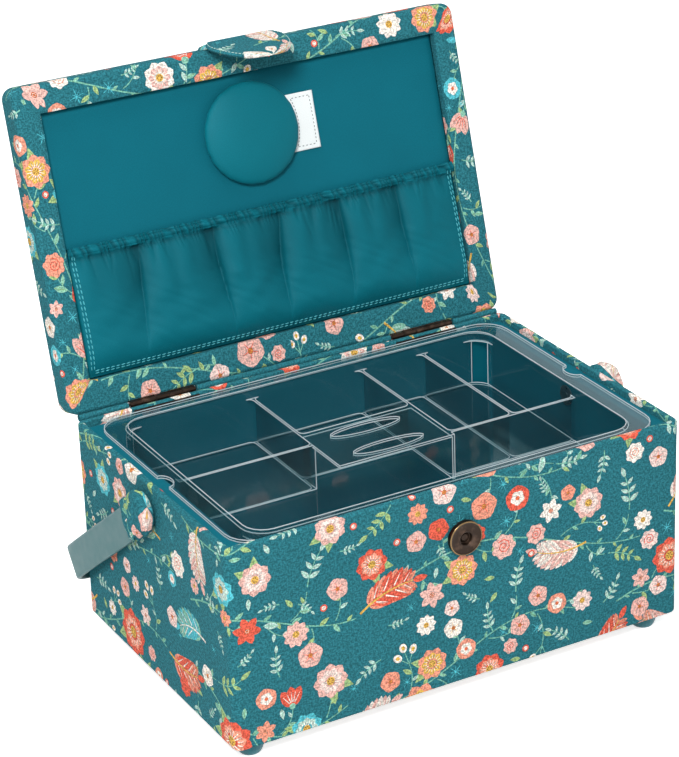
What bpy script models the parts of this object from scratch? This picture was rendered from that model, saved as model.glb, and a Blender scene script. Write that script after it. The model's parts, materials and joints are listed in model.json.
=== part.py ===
"""Fabric sewing box with an open hinged lid, a lift-out clear tray and a bail handle.

Metres, +Z up. +Y points to the back, where the hinges are. The pieces are laid out round the middle of the base's
underside. At the end all of them are moved so that the origin lies on the floor, below the middle of the open box.
Everything on the lid is modelled with the lid shut and the snap fastened. Empties on the joint axes then turn the
lid, the closure flap and the handle to the pose at rest: lid open, handle hanging behind.
"""

import math

import bmesh
import bpy
from mathutils import Matrix, Vector

# Driving sizes of the body
BODY_WIDTH = 0.260
BODY_DEPTH = 0.170
BODY_HEIGHT = 0.1104
BODY_CORNER_RADIUS = 0.0045
FOOT_HEIGHT = 0.009

# Clearances
GAP = 0.0003
OVERRUN = 0.002
BOOLEAN_OVERLAP = 0.0004

# Walls
COVER_THICKNESS = 0.0008
CARCASS_THICKNESS = 0.0020
COVER_LIP_WIDTH = 0.0032
LINING_SIDE_THICKNESS = 0.0092
LINING_FRONT_THICKNESS = 0.0050
LINING_BACK_THICKNESS = 0.0042
LINING_EDGE_RADIUS = 0.0008
BASE_BOARD_THICKNESS = 0.0025
BASE_LINING_THICKNESS = 0.0018

# Feet and their tacks
FOOT_RADIUS = 0.0075
FOOT_FLAT_RADIUS = 0.0045
FOOT_INSET_X = 0.0135
FOOT_INSET_Y = 0.0125
TACK_SHANK_RADIUS = 0.0010
TACK_SHANK_LENGTH = 0.0058
TACK_HEAD_RADIUS = 0.0030
TACK_HEAD_THICKNESS = 0.0008

# Lid, shut
LID_OVERHANG_X = 0.0008
LID_OVERHANG_FRONT = 0.0012
LID_OVERHANG_BACK = 0.0010
LID_GAP = 0.0004
LID_FRAME_HEIGHT = 0.0140
LID_TOP_THICKNESS = 0.0045
LID_CORNER_RADIUS = 0.0065
LID_EDGE_RADIUS = 0.0030
LID_TOP_CROWN = 0.0013
FRAME_WIDTH_SIDE = 0.0140
FRAME_WIDTH_FRONT = 0.0152
FRAME_WIDTH_BACK = 0.0165
FRAME_INNER_RADIUS = 0.0015
PANEL_RECESS = 0.0050
LID_OPEN_ANGLE = math.radians(105.8)

# Hinges
HINGE_LENGTH = 0.038
HINGE_FROM_SIDE = 0.051
HINGE_BARREL_RADIUS = 0.0016
HINGE_PIN_RADIUS = 0.0007
HINGE_PIN_CLEARANCE = 0.00008
HINGE_LEAF_THICKNESS = 0.0007
HINGE_LEAF_DEPTH = 0.0095
HINGE_KNUCKLES = 5
HINGE_KNUCKLE_GAP = 0.0003
HINGE_AXIS_OUT = 0.0019
HINGE_PIN_OVERHANG = 0.0006

# Pocket, gathered by its elastic
POCKET_BASE_LIFT = 0.0004
POCKET_SIDE_INSET = 0.0006
POCKET_CLOTH_THICKNESS = 0.0022
POCKET_SWELL = 0.0058
POCKET_FOLD_DEPTH = 0.0014
POCKET_FOLDS = 7
POCKET_SWELL_SHARE = 0.35
POCKET_DRAW_IN_SHARE = 0.25
POCKET_SIDE_FULLNESS = 0.35
ELASTIC_SIDE_SHARE = 0.03
ELASTIC_WIDTH = 0.0060
ELASTIC_THICKNESS = 0.0010
ELASTIC_BELOW_EDGE = 0.0040

# Pincushion, label
CUSHION_RADIUS = 0.0290
CUSHION_MARGIN = 0.0067
CUSHION_OFFSET = 0.0021
CUSHION_UNDERCUT = 0.0020
CUSHION_HEIGHT = 0.0095
CUSHION_BASE_THICKNESS = 0.0012
CUSHION_EDGE_DROP_SHARE = 0.42
LABEL_WIDTH = 0.0125
LABEL_HEIGHT = 0.0310
LABEL_THICKNESS = 0.0006
LABEL_PAST_CUSHION = 0.0012

# Closure flap and magnetic snap
FLAP_WIDTH = 0.0500
FLAP_THICKNESS = 0.0024
FLAP_ROOT_HEIGHT = 0.0130
FLAP_ROOT_THICKNESS = 0.0038
FLAP_LENGTH = 0.0400
FLAP_BEND_GAP = 0.0006
FLAP_DROOP_ANGLE = math.radians(13.6)
FLAP_END_SHARE = 0.72
SNAP_BELOW_RIM = 0.0290
SNAP_RADIUS = 0.00925
SNAP_SOCKET_THICKNESS = 0.0030
SNAP_STUD_THICKNESS = 0.0014
SNAP_HOLE_RADIUS = 0.0034
SNAP_SPIGOT_RADIUS = 0.0029
SNAP_SPIGOT_LENGTH = 0.0016
SNAP_SHELL = 0.0006
SNAP_RIM_RADIUS = 0.0009
SNAP_MAGNET_RADIUS = 0.0080
SNAP_WASHER_RADIUS = 0.0080
SNAP_WASHER_THICKNESS = 0.0006
SNAP_PRONG_RADIUS = 0.0012

# Handle
HANDLE_PIVOT_BELOW_RIM = 0.0152
HANDLE_REACH = 0.1190
HANDLE_THICKNESS = 0.0030
HANDLE_WIDTH = 0.0170
HANDLE_CORNER_RADIUS = 0.0090
HANDLE_SIDE_CLEARANCE = 0.0012
HANDLE_BACK_CLEARANCE = 0.0022
HANDLE_EDGE_RADIUS = 0.0006
SLEEVE_LENGTH = 0.0360
SLEEVE_WIDTH = 0.0210
SLEEVE_THICKNESS = 0.0072
SLEEVE_END_SHARE = 0.47
SLEEVE_DOME = 0.0024
SLEEVE_ROUND_END_SHARE = 0.8
SLEEVE_DOME_SHARES = ((0.0, 0.0), (0.06, 0.55), (0.22, 1.0))
RIVET_RADIUS = 0.0020
RIVET_HOLE_CLEARANCE = 0.0003
RIVET_HEAD_RADIUS = 0.0040
RIVET_HEAD_THICKNESS = 0.0009
WASHER_RADIUS = 0.0055
WASHER_THICKNESS = 0.0008

# Tray
TRAY_SIDE_MARGIN = 0.0090
TRAY_FRONT_MARGIN = 0.0040
TRAY_BACK_MARGIN = 0.0047
TRAY_BELOW_RIM = 0.0014
TRAY_FLANGE_THICKNESS = 0.0013
TRAY_FLANGE_RADIUS = 0.0145
TRAY_FLANGE_RUN_X = 0.0115
TRAY_FLANGE_RUN_Y = 0.0066
TRAY_WALL = 0.0012
TRAY_DEPTH = 0.0323
TRAY_INNER_RADIUS = 0.0115
TRAY_POCKET_RADIUS = 0.0030
TRAY_DIVIDER_DROP = 0.0060
TRAY_LEFT_DIVIDER_X = -0.0330
TRAY_RIGHT_DIVIDER_X = 0.0330
TRAY_FAR_DIVIDER_X = 0.0715
TRAY_LEFT_CROSS_Y = 0.0065
TRAY_RIGHT_CROSS_Y = -0.0185
TRAY_BRIDGE_BACK_Y = 0.0200
TRAY_BRIDGE_FRONT_Y = -0.0223
FINGER_HOLE_HALF_LENGTH = 0.0205
FINGER_HOLE_HALF_WIDTH = 0.0052
FINGER_HOLE_SPREAD = 0.0120
THUMB_NOTCH_HALF_LENGTH = 0.0070
THUMB_NOTCH_DEPTH = 0.0048

# Places worked out from the sizes above
BASE_Z = 0.0
RIM_Z = BASE_Z + BODY_HEIGHT
HALF_WIDTH = BODY_WIDTH / 2
HALF_DEPTH = BODY_DEPTH / 2
CARCASS_OFFSET = COVER_THICKNESS + GAP
CARCASS_INNER = CARCASS_OFFSET + CARCASS_THICKNESS
LEAF_SLOT = HINGE_LEAF_THICKNESS + 2 * GAP
LID_BOTTOM_Z = RIM_Z + LID_GAP
LID_HALF_WIDTH = HALF_WIDTH + LID_OVERHANG_X
LID_FRONT_Y = -HALF_DEPTH - LID_OVERHANG_FRONT
LID_BACK_Y = HALF_DEPTH + LID_OVERHANG_BACK
HINGE_X = HALF_WIDTH - HINGE_FROM_SIDE
HINGE_Y = HALF_DEPTH + HINGE_AXIS_OUT
HINGE_Z = RIM_Z + LID_GAP / 2
PANEL_Z = LID_BOTTOM_Z + PANEL_RECESS
OPENING_HALF_WIDTH = LID_HALF_WIDTH - FRAME_WIDTH_SIDE
OPENING_FRONT_Y = LID_FRONT_Y + FRAME_WIDTH_FRONT
OPENING_BACK_Y = LID_BACK_Y - FRAME_WIDTH_BACK
POCKET_BOTTOM_Y = OPENING_BACK_Y - GAP - POCKET_BASE_LIFT
POCKET_TOP_Y = OPENING_FRONT_Y + 2 * (CUSHION_RADIUS + CUSHION_MARGIN)
POCKET_HEIGHT = POCKET_BOTTOM_Y - POCKET_TOP_Y
CUSHION_Y = (POCKET_TOP_Y + OPENING_FRONT_Y) / 2 - CUSHION_OFFSET
CUSHION_BASE_RADIUS = CUSHION_RADIUS - CUSHION_UNDERCUT
SNAP_Z = RIM_Z - SNAP_BELOW_RIM
SNAP_BACK_Y = -HALF_DEPTH - GAP
SNAP_FACE_Y = SNAP_BACK_Y - SNAP_SOCKET_THICKNESS
HANDLE_PIVOT_Z = RIM_Z - HANDLE_PIVOT_BELOW_RIM
ARM_INNER_X = HALF_WIDTH + HANDLE_SIDE_CLEARANCE
ARM_OUTER_X = ARM_INNER_X + HANDLE_THICKNESS
TRAY_TOP_Z = RIM_Z - TRAY_BELOW_RIM
TRAY_FLANGE_Z = TRAY_TOP_Z - TRAY_FLANGE_THICKNESS
LINING_TOP_Z = TRAY_FLANGE_Z - GAP
BASE_TOP_Z = BASE_Z + BASE_BOARD_THICKNESS

ARC_STEPS = 5
ROUND_STEPS = 32
SMALL_ROUND_STEPS = 20


def clear_scene():
    """Removes what the startup file holds."""
    for item in list(bpy.data.objects):
        bpy.data.objects.remove(item, do_unlink=True)


def linear(channel):
    """Linear value of one sRGB channel."""
    return channel / 12.92 if channel <= 0.04045 else ((channel + 0.055) / 1.055) ** 2.4


def make_material(name, colour, roughness, metallic=0.0, alpha=1.0):
    """A Principled material from an sRGB hex colour."""
    material = bpy.data.materials.new(name)
    material.use_nodes = True
    shader = material.node_tree.nodes["Principled BSDF"]
    channels = [linear(int(colour[i : i + 2], 16) / 255) for i in (1, 3, 5)]
    shader.inputs["Base Color"].default_value = (*channels, 1.0)
    shader.inputs["Roughness"].default_value = roughness
    shader.inputs["Metallic"].default_value = metallic
    shader.inputs["Alpha"].default_value = alpha
    return material


def add_object(name, mesh, material, parent=None):
    """Links a mesh as a named object; a parent empty carries it along with its own turn."""
    item = bpy.data.objects.new(name, mesh)
    bpy.context.scene.collection.objects.link(item)
    mesh.materials.append(material)
    if parent is not None:
        item.parent = parent
        item.matrix_parent_inverse = Matrix.Translation(-Vector(parent["axis_point"]))
    return item


def add_axis(name, point, angle, parent=None):
    """An empty on a joint axis along X, turned by the angle that brings its children to the pose at rest."""
    empty = bpy.data.objects.new(name, None)
    bpy.context.scene.collection.objects.link(empty)
    empty["axis_point"] = Vector(point)
    empty.location = point
    if parent is not None:
        empty.parent = parent
        empty.matrix_parent_inverse = Matrix.Translation(-Vector(parent["axis_point"]))
    empty.rotation_euler = (angle, 0.0, 0.0)
    return empty


def mesh_from(name, points, faces, smooth_angle=None):
    """A mesh with outward normals, smooth where the faces meet below the angle."""
    mesh = bpy.data.meshes.new(name)
    mesh.from_pydata([tuple(p) for p in points], [], faces)
    shape = bmesh.new()
    shape.from_mesh(mesh)
    bmesh.ops.recalc_face_normals(shape, faces=shape.faces)
    shape.to_mesh(mesh)
    shape.free()
    if smooth_angle is not None:
        mesh.shade_smooth()
        mesh.set_sharp_from_angle(angle=smooth_angle)
    return mesh


SMOOTH = math.radians(35)


def rounded_rectangle(low, high, radius, steps=ARC_STEPS):
    """Points of a rectangle with round corners, anticlockwise, from its low to its high corner."""
    radius = max(radius, GAP)
    centres = (
        (high[0] - radius, high[1] - radius, 0),
        (low[0] + radius, high[1] - radius, 1),
        (low[0] + radius, low[1] + radius, 2),
        (high[0] - radius, low[1] + radius, 3),
    )
    points = []
    for x, y, quarter in centres:
        for step in range(steps + 1):
            turn = (quarter + step / steps) * math.pi / 2
            points.append((x + radius * math.cos(turn), y + radius * math.sin(turn)))
    return points


def inset(low, high, radius, by):
    """The same rectangle, drawn in by a distance on every side."""
    return (low[0] + by, low[1] + by), (high[0] - by, high[1] - by), radius - by


def prism_mesh(name, outline, z_low, z_high, smooth_angle=SMOOTH):
    """A straight prism over a flat outline."""
    count = len(outline)
    points = [(x, y, z_low) for x, y in outline] + [(x, y, z_high) for x, y in outline]
    faces = [tuple(range(count))[::-1], tuple(range(count, 2 * count))]
    for i in range(count):
        j = (i + 1) % count
        faces.append((i, j, count + j, count + i))
    return mesh_from(name, points, faces, smooth_angle)


def loop_mesh(name, loops, closed_ring, smooth_angle=SMOOTH):
    """Joins equal loops of points one after another. A closed ring joins the last to the first, or else both ends are
    capped."""
    count = len(loops[0])
    points = [p for loop in loops for p in loop]
    faces = []
    last = len(loops) if closed_ring else len(loops) - 1
    for a in range(last):
        b = (a + 1) % len(loops)
        for i in range(count):
            j = (i + 1) % count
            faces.append((a * count + i, a * count + j, b * count + j, b * count + i))
    if not closed_ring:
        faces.append(tuple(range(count))[::-1])
        faces.append(tuple(range((len(loops) - 1) * count, len(loops) * count)))
    return mesh_from(name, points, faces, smooth_angle)


def box_mesh(name, low, high):
    """A plain box between two corners."""
    outline = [(low[0], low[1]), (high[0], low[1]), (high[0], high[1]), (low[0], high[1])]
    return prism_mesh(name, outline, low[2], high[2], None)


def turned_mesh(name, profile, steps=ROUND_STEPS):
    """A solid turned about Z. The profile runs from the axis out and back to the axis, as (radius, z)."""
    loops = []
    for radius, z in profile[1:-1]:
        loops.append(
            [
                (radius * math.cos(2 * math.pi * i / steps), radius * math.sin(2 * math.pi * i / steps), z)
                for i in range(steps)
            ]
        )
    points = [p for loop in loops for p in loop]
    faces = []
    for a in range(len(loops) - 1):
        for i in range(steps):
            j = (i + 1) % steps
            faces.append((a * steps + i, a * steps + j, (a + 1) * steps + j, (a + 1) * steps + i))
    faces.append(tuple(range(steps))[::-1])
    faces.append(tuple(range((len(loops) - 1) * steps, len(loops) * steps)))
    return mesh_from(name, points, faces, SMOOTH)


def ring_mesh(name, profile, steps=ROUND_STEPS):
    """A ring turned about Z from a closed profile of (radius, z) points that stays off the axis."""
    loops = []
    for radius, z in profile:
        loops.append(
            [
                (radius * math.cos(2 * math.pi * i / steps), radius * math.sin(2 * math.pi * i / steps), z)
                for i in range(steps)
            ]
        )
    return loop_mesh(name, loops, True)


def place(mesh, matrix):
    """Moves a mesh's points."""
    mesh.transform(matrix)
    return mesh


def along_x(mesh, x, y, z):
    """Lays a mesh that was made along Z along +X, with its base at the point."""
    return place(mesh, Matrix.Translation((x, y, z)) @ Matrix.Rotation(math.pi / 2, 4, "Y"))


def along_minus_y(mesh, x, y, z):
    """Lays a mesh that was made along Z along -Y, with its base at the point."""
    return place(mesh, Matrix.Translation((x, y, z)) @ Matrix.Rotation(math.pi / 2, 4, "X"))


def combine(item, mesh, operation):
    """Cuts a mesh out of an object, or joins it on, with a Boolean whose helper isn't rendered."""
    helper = bpy.data.objects.new(item.name + "_" + operation.lower(), mesh)
    bpy.context.scene.collection.objects.link(helper)
    helper.hide_render = True
    helper.display_type = "WIRE"
    if item.parent is not None:
        helper.parent = item.parent
        helper.matrix_parent_inverse = item.matrix_parent_inverse.copy()
    modifier = item.modifiers.new(operation.title(), "BOOLEAN")
    modifier.operation = operation
    modifier.solver = "EXACT"
    modifier.object = helper
    return item


def cut(item, mesh):
    return combine(item, mesh, "DIFFERENCE")


def join(item, mesh):
    return combine(item, mesh, "UNION")


def frame_loops(section):
    """Loops for a frame: each section point is (low, high, radius, inset, z) of a rectangle with round corners."""
    loops = []
    for low, high, radius, by, z in section:
        a, b, r = inset(low, high, radius, by)
        loops.append([(x, y, z) for x, y in rounded_rectangle(a, b, r)])
    return loops


def quarter_round(radius, steps=3):
    """Pairs (inset, drop) of a quarter circle edge, from the flat to the side."""
    pairs = []
    for step in range(steps + 1):
        turn = step / steps * math.pi / 2
        pairs.append((radius * (1 - math.sin(turn)), radius * (1 - math.cos(turn))))
    return pairs


BODY_LOW = (-HALF_WIDTH, -HALF_DEPTH)
BODY_HIGH = (HALF_WIDTH, HALF_DEPTH)


def body_frame_point(by, z):
    return BODY_LOW, BODY_HIGH, BODY_CORNER_RADIUS, by, z


def hinge_places():
    """Middle of each hinge along X."""
    return (("left", -HINGE_X), ("right", HINGE_X))


def build_body(materials):
    """Carcass, printed cover, base, linings, feet and tacks."""
    cover = add_object(
        "body_cover",
        loop_mesh(
            "body_cover",
            frame_loops(
                [
                    body_frame_point(0.0, BASE_Z),
                    body_frame_point(0.0, RIM_Z - COVER_THICKNESS),
                    body_frame_point(COVER_THICKNESS, RIM_Z),
                    body_frame_point(COVER_LIP_WIDTH, RIM_Z),
                    body_frame_point(COVER_LIP_WIDTH, RIM_Z - COVER_THICKNESS),
                    body_frame_point(COVER_THICKNESS, RIM_Z - COVER_THICKNESS),
                    body_frame_point(COVER_THICKNESS, BASE_Z),
                ]
            ),
            True,
        ),
        materials["printed_canvas"],
    )
    carcass_top = RIM_Z - COVER_THICKNESS - GAP
    carcass = add_object(
        "body_carcass",
        loop_mesh(
            "body_carcass",
            frame_loops(
                [
                    body_frame_point(CARCASS_OFFSET, BASE_Z),
                    body_frame_point(CARCASS_OFFSET, carcass_top),
                    body_frame_point(CARCASS_INNER, carcass_top),
                    body_frame_point(CARCASS_INNER, BASE_Z),
                ]
            ),
            True,
        ),
        materials["board"],
    )
    leaf_top = HINGE_Z - HINGE_BARREL_RADIUS
    for side, x in hinge_places():
        half = HINGE_LENGTH / 2 + GAP
        low = (x - half, HALF_DEPTH - COVER_LIP_WIDTH - OVERRUN, leaf_top - GAP)
        high = (x + half, HALF_DEPTH + OVERRUN, RIM_Z + OVERRUN)
        cut(cover, box_mesh("cover_notch_" + side, low, high))
        cut(carcass, box_mesh("carcass_notch_" + side, low, high))
    base_low, base_high, base_radius = inset(BODY_LOW, BODY_HIGH, BODY_CORNER_RADIUS, CARCASS_INNER + GAP)
    base = add_object(
        "base_board",
        prism_mesh(
            "base_board", rounded_rectangle(base_low, base_high, base_radius), BASE_Z, BASE_TOP_Z
        ),
        materials["board"],
    )
    add_object(
        "base_lining",
        prism_mesh(
            "base_lining",
            rounded_rectangle(base_low, base_high, base_radius),
            BASE_TOP_Z + GAP,
            BASE_TOP_Z + GAP + BASE_LINING_THICKNESS,
        ),
        materials["lining_cloth"],
    )
    build_linings(materials)
    lining = bpy.data.objects["base_lining"]
    build_feet(materials, base, lining)
    return cover, carcass


def lining_inner():
    """Inner faces of the linings, as (half width, front y, back y)."""
    back = HALF_DEPTH - CARCASS_INNER - LEAF_SLOT - LINING_BACK_THICKNESS
    front = -(HALF_DEPTH - CARCASS_INNER - GAP - LINING_FRONT_THICKNESS)
    return HALF_WIDTH - CARCASS_INNER - GAP - LINING_SIDE_THICKNESS, front, back


def lining_mesh(name, low, high):
    """A padded board with a soft top edge: a rectangle in plan whose last loop is drawn in."""
    z_low = BASE_TOP_Z + 2 * GAP + BASE_LINING_THICKNESS
    loops = []
    for by, z in ((0.0, z_low), (0.0, LINING_TOP_Z - LINING_EDGE_RADIUS), (LINING_EDGE_RADIUS, LINING_TOP_Z)):
        loops.append(
            [
                (low[0] + by, low[1] + by, z),
                (high[0] - by, low[1] + by, z),
                (high[0] - by, high[1] - by, z),
                (low[0] + by, high[1] - by, z),
            ]
        )
    return loop_mesh(name, loops, False, None)


def build_linings(materials):
    """Four lining boards. The back one leaves a slot for the hinges' leaves."""
    inner_x, front_inner, back_inner = lining_inner()
    corner = BODY_CORNER_RADIUS - CARCASS_INNER
    outer_x = HALF_WIDTH - CARCASS_INNER - GAP
    front_y = -(HALF_DEPTH - CARCASS_INNER - GAP)
    back_y = HALF_DEPTH - CARCASS_INNER - LEAF_SLOT
    long_half = outer_x - corner
    places = {
        "lining_front": ((-long_half, front_y), (long_half, front_inner)),
        "lining_back": ((-long_half, back_inner), (long_half, back_y)),
        "lining_left": ((-outer_x, front_inner + GAP), (-inner_x, back_inner - GAP)),
        "lining_right": ((inner_x, front_inner + GAP), (outer_x, back_inner - GAP)),
    }
    for name, (low, high) in places.items():
        add_object(name, lining_mesh(name, low, high), materials["lining_cloth"])


def build_feet(materials, base, lining):
    """Domed feet, each held by a tack through the base."""
    floor = BASE_Z - FOOT_HEIGHT
    dome = [(0.0, floor), (FOOT_FLAT_RADIUS, floor)]
    rise = FOOT_HEIGHT - GAP
    steps = 5
    for step in range(1, steps + 1):
        turn = step / steps * math.pi / 2
        radius = FOOT_FLAT_RADIUS + (FOOT_RADIUS - FOOT_FLAT_RADIUS) * math.sin(turn)
        dome.append((radius, floor + rise * (1 - math.cos(turn))))
    dome.append((0.0, floor + rise))
    shank_top = BASE_TOP_Z + GAP
    for side_x, sign_x in (("left", -1), ("right", 1)):
        for side_y, sign_y in (("front", -1), ("back", 1)):
            x = sign_x * (HALF_WIDTH - FOOT_INSET_X)
            y = sign_y * (HALF_DEPTH - FOOT_INSET_Y)
            name = side_y + "_" + side_x
            shift = Matrix.Translation((x, y, 0.0))
            foot_mesh = place(turned_mesh("foot_" + name, dome, SMALL_ROUND_STEPS), shift)
            foot = add_object("foot_" + name, foot_mesh, materials["foot_plastic"])
            shank_bottom = shank_top - TACK_SHANK_LENGTH
            profile = [
                (0.0, shank_bottom),
                (TACK_SHANK_RADIUS, shank_bottom),
                (TACK_SHANK_RADIUS, shank_top),
                (TACK_HEAD_RADIUS, shank_top),
                (TACK_HEAD_RADIUS, shank_top + TACK_HEAD_THICKNESS),
                (0.0, shank_top + TACK_HEAD_THICKNESS),
            ]
            tack = place(turned_mesh("tack_" + name, profile, SMALL_ROUND_STEPS), shift)
            add_object("foot_tack_" + name, tack, materials["steel"])
            hole = TACK_SHANK_RADIUS + GAP
            hole_profile = [
                (0.0, shank_bottom - GAP),
                (hole, shank_bottom - GAP),
                (hole, BASE_TOP_Z + OVERRUN),
                (0.0, BASE_TOP_Z + OVERRUN),
            ]
            cut(foot, place(turned_mesh("foot_hole_" + name, hole_profile, SMALL_ROUND_STEPS), shift))
            cut(base, place(turned_mesh("base_hole_" + name, hole_profile, SMALL_ROUND_STEPS), shift))
            recess = TACK_HEAD_RADIUS + GAP
            recess_profile = [
                (0.0, BASE_TOP_Z - OVERRUN),
                (recess, BASE_TOP_Z - OVERRUN),
                (recess, shank_top + TACK_HEAD_THICKNESS + GAP),
                (0.0, shank_top + TACK_HEAD_THICKNESS + GAP),
            ]
            cut(lining, place(turned_mesh("recess_" + name, recess_profile, SMALL_ROUND_STEPS), shift))


def build_snap_socket(materials, cover, carcass):
    """Magnetic snap's socket on the front: a dished cup, the magnet in it and a washer behind the board."""
    z = SNAP_Z
    depth = SNAP_SOCKET_THICKNESS
    cup = [
        (SNAP_RADIUS, 0.0),
        (SNAP_RADIUS, depth - SNAP_RIM_RADIUS),
        (SNAP_RADIUS - SNAP_RIM_RADIUS, depth),
        (SNAP_HOLE_RADIUS + SNAP_SHELL, depth),
        (SNAP_HOLE_RADIUS, depth - SNAP_SHELL),
        (SNAP_HOLE_RADIUS, 0.0),
        (SNAP_HOLE_RADIUS + SNAP_SHELL, 0.0),
        (SNAP_HOLE_RADIUS + SNAP_SHELL, depth - 2 * SNAP_SHELL),
        (SNAP_MAGNET_RADIUS + 2 * GAP, depth - 2 * SNAP_SHELL),
        (SNAP_MAGNET_RADIUS + 2 * GAP, 0.0),
    ]
    add_object(
        "snap_socket",
        along_minus_y(ring_mesh("snap_socket", cup, ROUND_STEPS), 0.0, SNAP_BACK_Y, z),
        materials["aged_brass"],
    )
    magnet = [
        (SNAP_MAGNET_RADIUS, GAP),
        (SNAP_MAGNET_RADIUS, depth - 2 * SNAP_SHELL - GAP),
        (SNAP_HOLE_RADIUS + SNAP_SHELL + GAP, depth - 2 * SNAP_SHELL - GAP),
        (SNAP_HOLE_RADIUS + SNAP_SHELL + GAP, GAP),
    ]
    add_object(
        "snap_magnet",
        along_minus_y(ring_mesh("snap_magnet", magnet, ROUND_STEPS), 0.0, SNAP_BACK_Y, z),
        materials["magnet"],
    )
    washer_y = -HALF_DEPTH + CARCASS_INNER
    prong_length = CARCASS_INNER + 2 * GAP + SNAP_SHELL
    washer = [
        (0.0, -SNAP_WASHER_THICKNESS),
        (SNAP_WASHER_RADIUS, -SNAP_WASHER_THICKNESS),
        (SNAP_WASHER_RADIUS, 0.0),
        (SNAP_PRONG_RADIUS, 0.0),
        (SNAP_PRONG_RADIUS, prong_length),
        (0.0, prong_length),
    ]
    shift_y = washer_y + GAP
    add_object(
        "snap_washer",
        along_minus_y(turned_mesh("snap_washer", washer, SMALL_ROUND_STEPS), 0.0, shift_y, z),
        materials["steel"],
    )
    hole_radius = SNAP_PRONG_RADIUS + GAP
    hole = [
        (0.0, -OVERRUN),
        (hole_radius, -OVERRUN),
        (hole_radius, CARCASS_INNER + 2 * OVERRUN),
        (0.0, CARCASS_INNER + 2 * OVERRUN),
    ]
    for item, label in ((cover, "cover"), (carcass, "carcass")):
        cut(item, along_minus_y(turned_mesh("snap_hole_" + label, hole, SMALL_ROUND_STEPS), 0.0, shift_y, z))
    room_radius = SNAP_WASHER_RADIUS + GAP
    room = [
        (0.0, -SNAP_WASHER_THICKNESS - GAP),
        (room_radius, -SNAP_WASHER_THICKNESS - GAP),
        (room_radius, OVERRUN),
        (0.0, OVERRUN),
    ]
    lining = bpy.data.objects["lining_front"]
    cut(lining, along_minus_y(turned_mesh("snap_room", room, SMALL_ROUND_STEPS), 0.0, shift_y, z))


def lid_frame_outer(by, z):
    return (-LID_HALF_WIDTH, LID_FRONT_Y), (LID_HALF_WIDTH, LID_BACK_Y), LID_CORNER_RADIUS, by, z


def lid_frame_opening(by, z):
    """A point on the frame's opening; the inset is outwards there, into the frame."""
    low = (-OPENING_HALF_WIDTH, OPENING_FRONT_Y)
    high = (OPENING_HALF_WIDTH, OPENING_BACK_Y)
    return low, high, FRAME_INNER_RADIUS, -by, z


def build_lid(materials, lid):
    """Frame, padded top, recessed panel and everything sewn to it, all with the lid shut."""
    top_of_frame = LID_BOTTOM_Z + LID_FRAME_HEIGHT
    section = []
    for by, drop in quarter_round(LID_EDGE_RADIUS):
        section.append(lid_frame_outer(by, LID_BOTTOM_Z + drop))
    section.append(lid_frame_outer(0.0, top_of_frame))
    section.append(lid_frame_opening(0.0, top_of_frame))
    section.append(lid_frame_opening(0.0, LID_BOTTOM_Z + LINING_EDGE_RADIUS))
    section.append(lid_frame_opening(LINING_EDGE_RADIUS, LID_BOTTOM_Z))
    frame = add_object(
        "lid_frame", loop_mesh("lid_frame", frame_loops(section), True), materials["printed_canvas"], lid
    )
    for side, x in hinge_places():
        half = HINGE_LENGTH / 2 + GAP
        notch_low = (x - half, HINGE_Y - HINGE_BARREL_RADIUS - GAP, LID_BOTTOM_Z - OVERRUN)
        notch_high = (x + half, LID_BACK_Y + OVERRUN, HINGE_Z + HINGE_BARREL_RADIUS + GAP)
        cut(frame, box_mesh("lid_notch_" + side, notch_low, notch_high))
        slot_top = HINGE_Z + HINGE_BARREL_RADIUS + GAP
        slot_low = (x - half, LID_BACK_Y - HINGE_LEAF_DEPTH, slot_top - LEAF_SLOT)
        slot_high = (x + half, LID_BACK_Y + OVERRUN, slot_top)
        cut(frame, box_mesh("lid_slot_" + side, slot_low, slot_high))
    top_low = top_of_frame + GAP
    top_high = top_low + LID_TOP_THICKNESS
    loops = [lid_frame_outer(0.0, top_low), lid_frame_outer(0.0, top_high - LID_EDGE_RADIUS)]
    for by, drop in reversed(quarter_round(LID_EDGE_RADIUS)[:-1]):
        loops.append(lid_frame_outer(by, top_high - drop))
    crown_inset = 3 * LID_EDGE_RADIUS
    loops.append(lid_frame_outer(crown_inset, top_high + LID_TOP_CROWN))
    add_object(
        "lid_top_board",
        loop_mesh("lid_top_board", frame_loops(loops), False),
        materials["printed_canvas"],
        lid,
    )
    panel_low = (-OPENING_HALF_WIDTH + GAP, OPENING_FRONT_Y + GAP)
    panel_high = (OPENING_HALF_WIDTH - GAP, OPENING_BACK_Y - GAP)
    add_object(
        "lid_lining_panel",
        prism_mesh(
            "lid_lining_panel",
            rounded_rectangle(panel_low, panel_high, FRAME_INNER_RADIUS, 2),
            PANEL_Z,
            top_of_frame,
        ),
        materials["lining_cloth"],
        lid,
    )
    build_pocket(materials, lid)
    build_pincushion(materials, lid)
    return frame


def pocket_surface(u, v):
    """How far the pocket's cloth stands off the panel at a share u across and v up.

    It swells quickly from the bottom seam and the side seams, and is drawn in a little again at the gathered top. A
    row of folds runs down from the gathers, deepest at the top and gone at the bottom seam.
    """
    across = math.sin(math.pi * u) ** POCKET_SIDE_FULLNESS
    low_part = max(0.0, 1.0 - v / POCKET_SWELL_SHARE)
    high_part = max(0.0, v - POCKET_SWELL_SHARE) / (1.0 - POCKET_SWELL_SHARE)
    up = (1.0 - low_part**2) * (1.0 - POCKET_DRAW_IN_SHARE * high_part**2)
    sway = math.sin(2 * math.pi * u)
    folds = math.cos(2 * math.pi * POCKET_FOLDS * u + sway) * v
    return (POCKET_SWELL * up + POCKET_FOLD_DEPTH * folds) * across


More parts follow.
